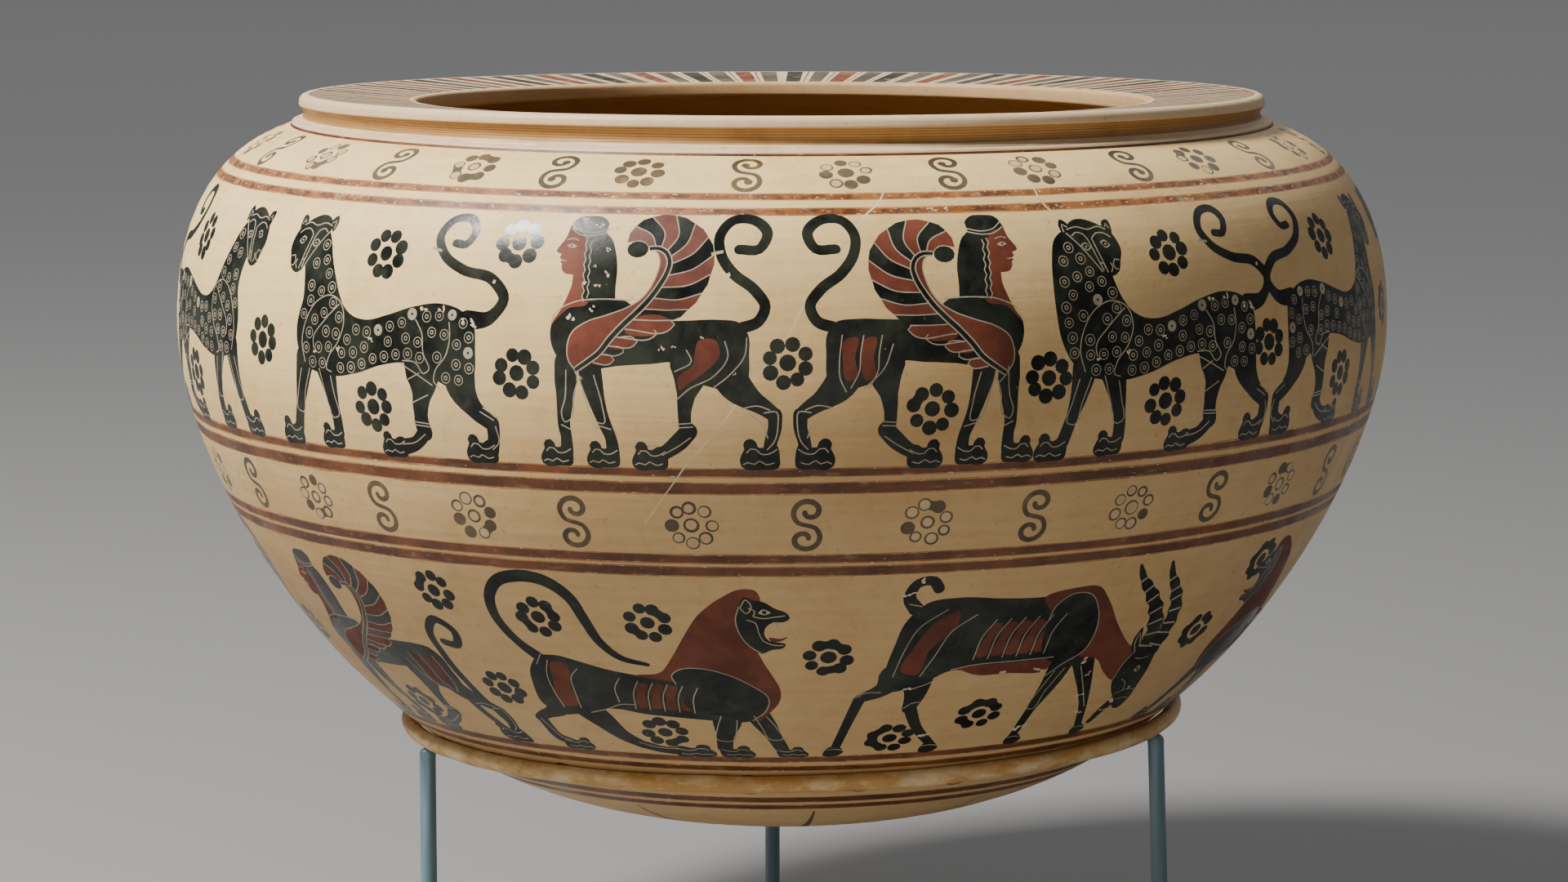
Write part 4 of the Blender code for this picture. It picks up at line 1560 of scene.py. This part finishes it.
@dataclass
class Friezes:
    """Everything that is painted on the outside, laid out by azimuth in degrees from the front."""

    shape: BowlShape
    skin: Skin

    def lay(self, drawing: Sheet, azimuth: float, arc: float, scale: float = 1.0, left: bool = False) -> None:
        """Lay a drawing on the bowl.

        Args:
            drawing: the drawing, in millimetres.
            azimuth: where its x = 0 goes, in degrees.
            arc: where its y = 0 goes, along the outer line.
            scale: its size.
            left: whether it faces left.
        """
        sign = -scale if left else scale

        def move(x: float, y: float) -> Spot:
            """Where a point of the drawing goes."""
            down = arc - scale * y
            angle = radians(azimuth) + sign * x / max(self.shape.at(down).radius, 5.0)
            return (angle * self.skin.reach, down)

        self.skin.sheet.add(drawing, move)

    def lines(self) -> None:
        """The turned lines that part the bands."""
        arc = self.shape.arc_at
        skin = self.skin
        rows = (
            (Ink.AMBER, arc(14.55), arc(15.85)),
            (Ink.AMBER, arc(17.5), arc(18.95)),
            (Ink.LINE, arc(73.8), arc(75.8)),
            (Ink.LINE, arc(77.1), arc(79.8)),
            (Ink.LINE, arc(94.1), arc(96.3)),
            (Ink.LINE, arc(97.0), arc(99.4)),
            (Ink.LINE, arc(147.5), arc(149.2)),
            (Ink.LINE, arc(150.3), arc(151.8)),
            (Ink.LINE, arc(160.5), arc(162.3)),
            (Ink.LINE, arc(163.3), arc(164.9)),
        )
        for k, (ink, high, low) in enumerate(rows):
            skin.band(Ink.FRINGE, high - 0.12, low + 0.12, 0.10, 30 + k)
            core = Ink.AMBER if ink is Ink.AMBER else Ink.LINE
            skin.band(core, high + 0.25, low - 0.22, 0.14, 60 + k)

    def ornaments(self) -> None:
        """The scrolls and rosettes of the narrow bands, in turn."""
        arc = self.shape.arc_at
        shoulder = [-67.4, -55.2, -43.1, -32.4, -22.6, -14.2, -3.4, 6.3, 16.6, 26.1, 37.9, 47.7, 58.6, 70.0]
        middle = [-71.2, -60.3, -48.8, -39.4, -28.8, -18.8, -8.0, 2.2, 13.0, 23.1, 33.3, 43.5, 53.8, 64.0]
        shoulder += self.rest(shoulder, 20)
        middle += self.rest(middle, 21)
        low = [-46.0, -33.4, -19.7, -4.8, 11.8, 27.5, 43.0]
        low += self.rest(low, 16)
        for k, azimuth in enumerate(shoulder):
            if k % 2 == 0:
                self.lay(Scroll(14.6, 1.15, azimuth < -6.0, 1.0).draw(), azimuth, 11.9)
            else:
                self.lay(Rosette(8, 4.5, 1.55, 100 + k, 0.45).draw(), azimuth, 11.8)
        for k, azimuth in enumerate(middle):
            if k % 2:
                self.lay(Scroll(14.4, 1.2).draw(), azimuth, arc(94.1) - 7.6)
            else:
                self.lay(Rosette(8, 4.5, 1.58, 200 + k, 0.8).draw(), azimuth, arc(94.1) - 7.6)
        for k, azimuth in enumerate(low):
            centre = 0.5 * (arc(151.8) + arc(160.5))
            if k % 2:
                self.lay(Scroll(11.6, 0.65).draw(), azimuth, centre)
            else:
                self.lay(Rosette(8, 3.9, 1.2, 300 + k, 0.9).draw(), azimuth, centre)

    def rest(self, front: Sequence[float], count: int) -> list[float]:
        """Even places round the back, between the last and the first of those in front."""
        start, end = front[-1], front[0] + 360.0
        step = (end - start) / (count + 1)
        return [(start + step * k + 180.0) % 360.0 - 180.0 for k in range(1, count + 1)]

    def upper(self) -> None:
        """The upper frieze: panthers and sphinxes, with rosettes between them."""
        ground = self.shape.arc_at(73.8)
        panther, worn_panther = Panther().draw(), Panther(worn=True).draw()
        sphinx, other = Sphinx(worn=True).draw(), Sphinx(bands=2, wing_shift=(1.6, -1.5)).draw()
        turned = Panther(turned=True, worn=True).draw()
        row = (
            (panther, -63.7, False), (worn_panther, -41.5, True), (sphinx, -12.2, True), (other, 13.2, False),
            (turned, 31.4, True), (panther, 65.5, False), (panther, 87.0, True), (panther, 124.0, False),
            (sphinx, 145.0, True), (other, 167.6, False), (panther, -168.0, True), (panther, -131.0, False),
            (other, -99.0, False),
        )
        for drawing, azimuth, left in row:
            self.lay(drawing, azimuth, ground, 1.0, left)
        spots = [(-69.4, 43.8), (-37.5, 45.4), (-52.9, 23.1), (-69.2, 11.4), (-37.9, 10.8), (-23.7, 49.4),
                 (-22.9, 20.6), (0.5, 23.8), (12.7, 13.0), (23.1, 18.6), (36.6, 45.0), (35.0, 11.4), (47.9, 22.0),
                 (59.8, 44.7), (61.0, 11.4), (75.6, 24.0), (82.0, 44.0), (92.0, 10.6), (105.4, 23.0), (119.0, 45.0),
                 (118.6, 10.8), (134.4, 34.0), (156.4, 25.0), (167.0, 12.6), (-176.4, 32.0), (-172.4, 44.6),
                 (-163.0, 10.8), (-149.4, 23.0), (-136.4, 45.0), (-136.6, 10.8), (-119.4, 30.0), (-99.6, 12.8),
                 (-86.8, 30.0)]
        for k, (azimuth, up) in enumerate(spots):
            self.lay(Rosette(8, 4.2, 1.66, 400 + k, blot=0.05).draw(), azimuth, ground - up)

    def lower(self) -> None:
        """The lower frieze: sphinx, lions and goats."""
        ground = self.shape.arc_at(147.3)
        lion, goat, worn_goat = Lion().draw(), Goat().draw(), Goat(worn=True).draw()
        sphinx = Sphinx(bands=2, low_tail=True).draw()
        row = (
            (sphinx, -52.2, True), (lion, -15.3, False), (worn_goat, 25.0, False), (lion, 73.4, True),
            (goat, 111.6, True), (lion, 147.0, False), (sphinx, -163.0, True), (goat, -127.6, False),
            (lion, -86.2, True),
        )
        for drawing, azimuth, left in row:
            self.lay(drawing, azimuth, ground, 1.0, left)
        spots = [(-36.6, 51.6), (-33.4, 21.8), (-51.7, 10.1), (-24.9, 46.6), (-13.3, 46.6), (-14.3, 9.4), (4.8, 36.4),
                 (13.4, 6.6), (23.9, 14.0), (51.6, 33.0), (57.4, 51.8), (86.0, 46.0), (73.2, 9.4), (95.0, 50.0),
                 (112.0, 14.2), (124.0, 7.0), (149.0, 9.4), (137.4, 46.6), (168.6, 36.0), (-174.0, 46.0),
                 (-162.6, 11.0), (-146.0, 46.0), (-128.6, 14.2), (-141.0, 7.0), (-109.0, 46.0), (-86.4, 9.4),
                 (-74.6, 47.0), (-69.0, 30.0)]
        for k, (azimuth, up) in enumerate(spots):
            self.lay(Rosette(8, 4.25, 1.62, 500 + k, blot=0.4).draw(), azimuth, ground - up)

    def rays(self, count: int = 11) -> None:
        """Long thin rays that run from the lowest line in towards the pole.

        Args:
            count: how many there are.
        """
        start, end = self.shape.arc_at(164.9) + 2.2, self.shape.length - 14.0
        for k in range(count):
            azimuth = -27.1 + 32.9 * k if k < 3 else 38.7 + 32.0 * (k - 2)
            azimuth = (azimuth + 180.0) % 360.0 - 180.0
            edge = []
            for step in range(13):
                share = step / 12
                arc = start + (end - start) * share
                edge.append((arc, (0.25 + 2.6 * share**1.25) / max(self.shape.at(arc).radius, 6.0)))
            ring = [(radians(azimuth) - half, arc) for arc, half in edge]
            ring += [(radians(azimuth) + half, arc) for arc, half in reversed(edge)]
            outline = tuple((angle * self.skin.reach, arc) for angle, arc in ring)
            self.skin.sheet.patches.append(Patch(Ink.SLIP, Ink.GLAZE.layer, outline))

    def cracks(self) -> None:
        """The thin pale lines where old breaks were mended."""
        runs = (
            ((10.9, 9.0), (9.4, 20.0), (5.2, 33.0), (1.6, 48.0), (-2.8, 64.0), (-8.0, 82.0), (-13.6, 100.0)),
            ((23.0, 4.0), (23.6, 14.0), (25.6, 27.0), (26.4, 44.0), (25.0, 60.0), (26.6, 82.0)),
            ((118.0, 6.0), (121.0, 40.0), (126.0, 76.0), (124.0, 118.0), (131.0, 160.0)),
            ((-146.0, 8.0), (-150.0, 52.0), (-143.0, 96.0), (-149.0, 150.0), (-140.0, 186.0)),
        )
        for k, run in enumerate(runs):
            dice = random.Random(k)
            path = []
            for (a, b), (c, d) in zip(run, run[1:]):
                for step in range(5):
                    share = step / 5
                    path.append((radians(a + (c - a) * share + dice.uniform(-0.25, 0.25)) * self.skin.reach,
                                 b + (d - b) * share))
            self.skin.sheet.line(Ink.CRACK, (0.32, 0.55, 0.4, 0.3), path)

    def draw(self) -> None:
        """Paint the whole outside."""
        self.lines()
        self.ornaments()
        self.upper()
        self.lower()
        self.rays()
        self.cracks()


def settle(bm: bmesh.types.BMesh, name: str) -> bpy.types.Object:
    """Turn a finished bmesh into an object at the origin.

    Args:
        bm: the mesh, which is freed.
        name: the object's name.

    Returns:
        The object, linked to the scene.
    """
    mesh = bpy.data.meshes.new(name)
    bm.to_mesh(mesh)
    bm.free()
    piece = bpy.data.objects.new(name, mesh)
    bpy.context.scene.collection.objects.link(piece)
    return piece


@dataclass
class Bowl:
    """The thrown and painted bowl."""

    name: str = "painted_bowl"
    shape: BowlShape = field(default_factory=BowlShape)
    steps: int = 144
    pole_steps: int = 36
    pole_reach: float = 10.0
    bars: int = 100
    tilt_turn: float = 1.15
    flat: float = radians(2.2)

    def turn(self, bm: bmesh.types.BMesh, layer: bmesh.types.BMLayerItem, line: Sequence[Spot], ink: Ink,
             steps: int = 0) -> None:
        """Turn a line about the axis.

        Args:
            bm: the bowl's mesh.
            layer: the layer that keeps how the surface faces.
            line: (radius, height) points, with the clay on their right hand.
            ink: the finish of the turned surface.
            steps: how many faces go round, or nothing for the bowl's own number.
        """
        start = []
        for i, (radius, height) in enumerate(line):
            a, b = line[max(i - 1, 0)], line[min(i + 1, len(line) - 1)]
            run = dist(a, b)
            vert = bm.verts.new((0.0, radius * MM, height * MM))
            vert[layer] = (-(b[1] - a[1]) / run, (b[0] - a[0]) / run, 0.0)
            start.append(vert)
        edges = [bm.edges.new(pair) for pair in zip(start, start[1:])]
        old = set(bm.faces)
        bmesh.ops.spin(bm, geom=start + edges, cent=(0, 0, 0), axis=(0, 0, 1), dvec=(0, 0, 0), angle=tau,
                       steps=steps or self.steps, use_merge=True)
        for face in bm.faces:
            if face not in old:
                face.material_index = INKS.index(ink)
                face.smooth = True

    def lip_skin(self) -> Skin:
        """Returns: the flat top of the lip with its painted bars."""
        lines = self.shape.lip()
        inner, outer = lines["edge"][-1], lines["crest"][0]
        width = outer[0] - inner[0]
        slope = hypot(width, outer[1] - inner[1])

        def place(angle: float, across: float) -> ProfilePoint:
            """A point of the lip's top."""
            share = across / width
            return ProfilePoint(inner[0] + across, inner[1] + (outer[1] - inner[1]) * share,
                                -(outer[1] - inner[1]) / slope, width / slope)

        skin = Skin(105.0, 0.0, width, place, Ink.CREST, row=6.6)
        dice = random.Random(21)
        inks = (Ink.BAR_GREY, Ink.BAR_RED, Ink.BAR_GREY, Ink.BAR_DARK)
        period = tau / self.bars
        for k in range(self.bars):
            middle = -pi + period * (k + 0.5)
            half = period * (0.32 + dice.uniform(-0.02, 0.02))
            near, far = 0.7 + dice.uniform(0.0, 0.4), width - 0.5 - dice.uniform(0.0, 0.3)
            corners = [(middle - half, near), (middle - half, 0.5 * width), (middle - half, far),
                       (middle + half, far), (middle + half, 0.5 * width), (middle + half, near)]
            corners = [((angle + dice.uniform(-0.03, 0.03) * period) * skin.reach, across) for angle, across in corners]
            skin.sheet.patches.append(Patch(inks[k % 4], 5, tuple(corners)))
            if k:
                seam = (middle - 0.5 * period) * skin.reach
                skin.sheet.line(Ink.SLIP, 0.34, [(seam, 0.9), (seam + dice.uniform(-0.2, 0.2), 0.5 * width),
                                                 (seam, width - 0.7)])
        return skin

    def wall_skin(self) -> Skin:
        """Returns: the painted outside, from under the collar down to the pole."""
        shape = self.shape
        top, bottom = shape.skirt, shape.length - self.pole_reach

        def place(angle: float, arc: float) -> ProfilePoint:
            """A point of the outside, its bands running a little askew round the bowl."""
            rise = min(max((arc - top) / 60.0, 0.0), 1.0)
            fall = min(max((bottom - arc) / 60.0, 0.0), 1.0)
            return shape.at(arc - self.tilt_turn * rise * fall * sin(angle))

        skin = Skin(150.0, top, bottom, place, Ink.CLAY, 5.0, self.steps, self.pole_steps,
                    ((shape.length - 60.0, 72), (shape.length - 30.0, 36)))
        Friezes(shape, skin).draw()
        return skin

    def tilt(self, bm: bmesh.types.BMesh) -> None:
        """Lean the lip as the solid's lip leans, its front a little high.

        Args:
            bm: the bowl's mesh.
        """
        shape = self.shape
        base = (shape.crest - shape.collar_drop) * MM
        side = (shape.crest - shape.lip_round - shape.lip_dish) * MM
        reach = (shape.collar_radius + shape.lip_overhang + 0.3) * MM
        for vert in bm.verts:
            share = (vert.co.z - base) / (side - base)
            if share > 0.0 and hypot(vert.co.x, vert.co.y) < reach:
                vert.co.z -= vert.co.y * tan(shape.lip_tilt) * min(share, 1.0)

    def face_out(self, mesh: bpy.types.Mesh, ways: Sequence[Vector]) -> None:
        """Shade every corner as the turned outline faces there, and keep the outline's own sharp edges.

        Args:
            mesh: the bowl's mesh.
            ways: how the surface faces at each vertex, as (out, up, 0).
        """
        normals = []
        for face in mesh.polygons:
            centre, flat = face.center, face.normal
            reach = hypot(centre.x, centre.y) or 1.0
            out = (flat.x * centre.x + flat.y * centre.y) / reach
            for index in face.vertices:
                place, way = mesh.vertices[index].co, ways[index]
                away, up = (way.x, way.y) if way.x * out + way.y * flat.z > 0.86 else (out, flat.z)
                reach = hypot(place.x, place.y)
                if reach < 1e-5:
                    normals.append((0.0, 0.0, 1.0 if up > 0 else -1.0))
                    continue
                normals.append(Vector((away * place.x / reach, away * place.y / reach, up)).normalized())
        mesh.normals_split_custom_set(normals)

    def build(self) -> bpy.types.Object:
        """Returns: the bowl as one closed mesh with its finishes."""
        bm = bmesh.new()
        layer = bm.verts.layers.float_vector.new("facing")
        shape = self.shape
        lines = shape.lip()
        cavity = shape.cavity(60)
        mouth = lines["edge"][0]
        ceiling = [cavity[-1], (0.5 * (cavity[-1][0] + mouth[0]), 0.5 * (cavity[-1][1] + mouth[1])), mouth]
        self.turn(bm, layer, cavity[::-1], Ink.INSIDE)
        self.turn(bm, layer, ceiling[::-1], Ink.INSIDE)
        strips = [(Ink.MOUTH, lines["edge"]), (Ink.CREST, lines["crest"]), *shape.lip_zones()]
        for ink, line in strips:
            self.turn(bm, layer, line[::-1], ink)
        for vert in bm.verts:
            vert[layer] = -vert[layer]
        count = self.lip_skin().lay(bm, layer) + self.wall_skin().lay(bm, layer)
        LOG.info("the painting cuts the surface into %d triangles", count)
        pole = []
        for step in range(5):
            point = shape.at(shape.length - self.pole_reach * (1.0 - step / 4))
            pole.append((max(point.radius, 0.0), point.height))
        pole[-1] = (0.0, shape.clearance)
        before = set(bm.verts)
        self.turn(bm, layer, pole, Ink.CLAY, self.pole_steps)
        for vert in bm.verts:
            if vert not in before:
                vert[layer] = (0.0, -1.0, 0.0)
        bmesh.ops.remove_doubles(bm, verts=bm.verts, dist=3e-6)
        bmesh.ops.dissolve_degenerate(bm, edges=bm.edges, dist=1e-7)
        bmesh.ops.dissolve_limit(bm, angle_limit=self.flat, verts=bm.verts, edges=bm.edges, delimit={"MATERIAL"})
        bmesh.ops.recalc_face_normals(bm, faces=bm.faces)
        self.tilt(bm)
        ways = [vert[layer].copy() for vert in bm.verts]
        loose = [edge for edge in bm.edges if len(edge.link_faces) != 2]
        LOG.info("the bowl has %d faces and %d open edges", len(bm.faces), len(loose))
        piece = settle(bm, self.name)
        self.face_out(piece.data, ways)
        finishes = bowl_finishes()
        for ink in INKS:
            piece.data.materials.append(finishes[ink].make())
        return piece


@dataclass
class RingStand:
    """The ring of round rod that the bowl rests in, and its three legs with round feet."""

    shape: BowlShape = field(default_factory=BowlShape)
    ring_radius: float = 96.3
    rod: float = 1.8
    coat: float = 0.2
    tilt: float = radians(1.1)
    gap: float = 0.3
    leg: float = 2.0
    foot: float = 8.0
    foot_thick: float = 3.0
    legs: dict[str, tuple[float, float]] = field(
        default_factory=lambda: {
            "stand_leg_right": (radians(-22.0), radians(2.0)),
            "stand_leg_left": (radians(-158.0), 0.0),
            "stand_leg_back": (radians(93.0), 0.0),
        }
    )

    def place(self) -> Matrix:
        """Returns: where the ring lies, rocked a little about the centre of the bowl's round flank."""
        shape = self.shape
        pivot = shape.clearance + shape.flank_rise + shape.flank_radius / tan(shape.flank_slope)
        reach = self.rod + self.gap
        seat = shape.clearance
        for step in range(2000):
            point = shape.at(shape.arc_at(shape.belly_drop) + 0.1 * step)
            if point.radius + reach * point.out < self.ring_radius:
                seat = point.height + reach * point.up
                break
        return (
            Matrix.Translation((0, 0, pivot)) @ Matrix.Rotation(-self.tilt, 4, "Y")
            @ Matrix.Translation((0, 0, seat - pivot))
        )

    def build_ring(self) -> bpy.types.Object:
        """Returns: the ring, its rod never quite round and its bend never quite even."""
        bm = bmesh.new()
        made = bmesh.ops.create_circle(bm, cap_ends=False, radius=self.rod + self.coat, segments=20)
        bmesh.ops.rotate(bm, verts=made["verts"], cent=(0, 0, 0), matrix=Matrix.Rotation(pi / 2, 3, "X"))
        bmesh.ops.translate(bm, verts=made["verts"], vec=(self.ring_radius, 0, 0))
        edges = list({edge for vert in made["verts"] for edge in vert.link_edges})
        bmesh.ops.spin(bm, geom=made["verts"] + edges, cent=(0, 0, 0), axis=(0, 0, 1), dvec=(0, 0, 0), angle=tau,
                       steps=240, use_merge=True)
        bmesh.ops.remove_doubles(bm, verts=bm.verts, dist=1e-3)
        for vert in bm.verts:
            angle = atan2(vert.co.y, vert.co.x)
            vert.co.z += 0.05 * sin(17 * angle + 1.0) + 0.04 * sin(31 * angle)
        bmesh.ops.transform(bm, matrix=Matrix.Scale(MM, 4) @ self.place(), verts=bm.verts)
        bmesh.ops.recalc_face_normals(bm, faces=bm.faces)
        for face in bm.faces:
            face.smooth = True
        return settle(bm, "ring_rod")

    def build_leg(self, name: str, azimuth: float, lean: float) -> bpy.types.Object:
        """A leg: a rod with a rounded top under the ring and a round foot with a soft edge.

        Args:
            name: the node that it stands for.
            azimuth: where it stands round the ring, from +X.
            lean: how far its foot stands out towards +X.

        Returns:
            The leg.
        """
        spot = self.place() @ Vector((self.ring_radius * cos(azimuth), self.ring_radius * sin(azimuth), 0.0))
        top = spot.z - self.rod - 0.05
        line = [(0.0, top), (0.8, top - 0.06), (1.4, top - 0.35), (1.85, top - 0.9), (self.leg + 0.06, top - 1.8)]
        line += [(self.leg, top - 2.8)]
        for k in range(1, 6):
            line.append((self.leg, top - 2.8 - (top - 2.8 - self.foot_thick - 1.2) * k / 5))
        line += [(self.leg + 0.25, self.foot_thick + 0.4), (self.leg + 0.9, self.foot_thick)]
        line += [(self.foot - 0.7, self.foot_thick), (self.foot - 0.2, self.foot_thick - 0.2)]
        line += [(self.foot, self.foot_thick - 0.7), (self.foot, 0.4), (self.foot - 0.3, 0.0), (0.0, 0.0)]
        bm = bmesh.new()
        verts = [bm.verts.new((radius, 0.0, height)) for radius, height in line]
        edges = [bm.edges.new(pair) for pair in zip(verts, verts[1:])]
        bmesh.ops.spin(bm, geom=verts + edges, cent=(0, 0, 0), axis=(0, 0, 1), dvec=(0, 0, 0), angle=tau, steps=32,
                       use_merge=True)
        bmesh.ops.remove_doubles(bm, verts=bm.verts, dist=1e-3)
        shear = Matrix.Identity(4)
        shear[0][2] = -tan(lean)
        put = Matrix.Translation((spot.x + top * tan(lean), spot.y, 0.0))
        bmesh.ops.transform(bm, matrix=Matrix.Scale(MM, 4) @ put @ shear, verts=bm.verts)
        bmesh.ops.recalc_face_normals(bm, faces=bm.faces)
        for face in bm.faces:
            face.smooth = True
        piece = settle(bm, name.replace("stand_leg", "leg_rod"))
        piece.data.set_sharp_from_angle(angle=radians(50.0))
        return piece

    def build(self) -> dict[str, bpy.types.Object]:
        """Returns: each piece of the stand by the node that it stands for."""
        pieces = {"stand_ring": self.build_ring()}
        pieces["stand_ring"].data.materials.append(RingPaint().make())
        paint = LegPaint().make()
        for name, (azimuth, lean) in self.legs.items():
            pieces[name] = self.build_leg(name, azimuth, lean)
            pieces[name].data.materials.append(paint)
        return pieces


@dataclass
class Studio:
    """The floor, the lights and the camera."""

    lens: float = 104.9
    camera_place: tuple[float, float, float] = (0.0005, -1.1365, 0.2988)
    pitch: float = radians(7.72)
    floor_tone: Colour = (0.25, 0.25, 0.25)

    def floor(self) -> None:
        """A plain pale floor."""
        bm = bmesh.new()
        bmesh.ops.create_grid(bm, x_segments=1, y_segments=1, size=16.0)
        floor = settle(bm, "floor")
        bench = Bench("floor_paper")
        floor.data.materials.append(bench.finish(self.floor_tone, 0.9, gloss=0.2))

    def lamp(self, name: str, place: Sequence[float], aim: Sequence[float], size: Spot, power: float,
             tone: Colour = (1.0, 1.0, 1.0)) -> None:
        """A soft box light.

        Args:
            name: the lamp's name.
            place: where it hangs.
            aim: the point that it faces.
            size: its width and height.
            power: its strength in watts.
            tone: its colour.
        """
        light = bpy.data.lights.new(name, "AREA")
        light.shape = "RECTANGLE"
        light.size, light.size_y = size
        light.energy = power
        light.color = tone
        lamp = bpy.data.objects.new(name, light)
        lamp.location = place
        lamp.rotation_euler = (Vector(aim) - Vector(place)).to_track_quat("-Z", "Y").to_euler()
        bpy.context.scene.collection.objects.link(lamp)

    def build(self) -> None:
        """Set the whole studio up."""
        self.floor()
        self.lamp("key", (-0.95, -0.46, 1.42), (0.0, 0.0, 0.15), (0.34, 0.34), 60.0, (1.0, 0.97, 0.93))
        self.lamp("sky", (0.0, 5.4, 4.0), (0.0, 5.4, 0.0), (12.0, 10.0), 255.0)
        self.lamp("card", (-0.2, -0.66, 0.03), (-0.04, -0.1, 0.22), (1.1, 0.5), 1.6, (1.0, 0.92, 0.80))
        world = bpy.data.worlds.new("studio_air")
        world.use_nodes = True
        world.node_tree.nodes["Background"].inputs["Color"].default_value = (0.8, 0.82, 0.85, 1.0)
        world.node_tree.nodes["Background"].inputs["Strength"].default_value = 0.18
        bpy.context.scene.world = world
        camera = bpy.data.cameras.new("camera")
        camera.lens = self.lens
        camera.clip_end = 60.0
        eye = bpy.data.objects.new("camera", camera)
        eye.location = self.camera_place
        eye.rotation_euler = (pi / 2 - self.pitch, 0.0, 0.0)
        bpy.context.scene.collection.objects.link(eye)
        bpy.context.scene.camera = eye


def main() -> None:
    """Build the bowl and its stand, dress them and light them."""
    logging.basicConfig(level=logging.INFO, format="%(name)s: %(message)s")
    bowl = Bowl().build()
    pieces = {"bowl": bowl, **RingStand().build()}
    for node, piece in pieces.items():
        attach(piece, "root")
        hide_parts(node)
        LOG.info("%s stands for %s with %d faces", piece.name, node, len(piece.data.polygons))
    Studio().build()


if __name__ == "__main__":
    main()
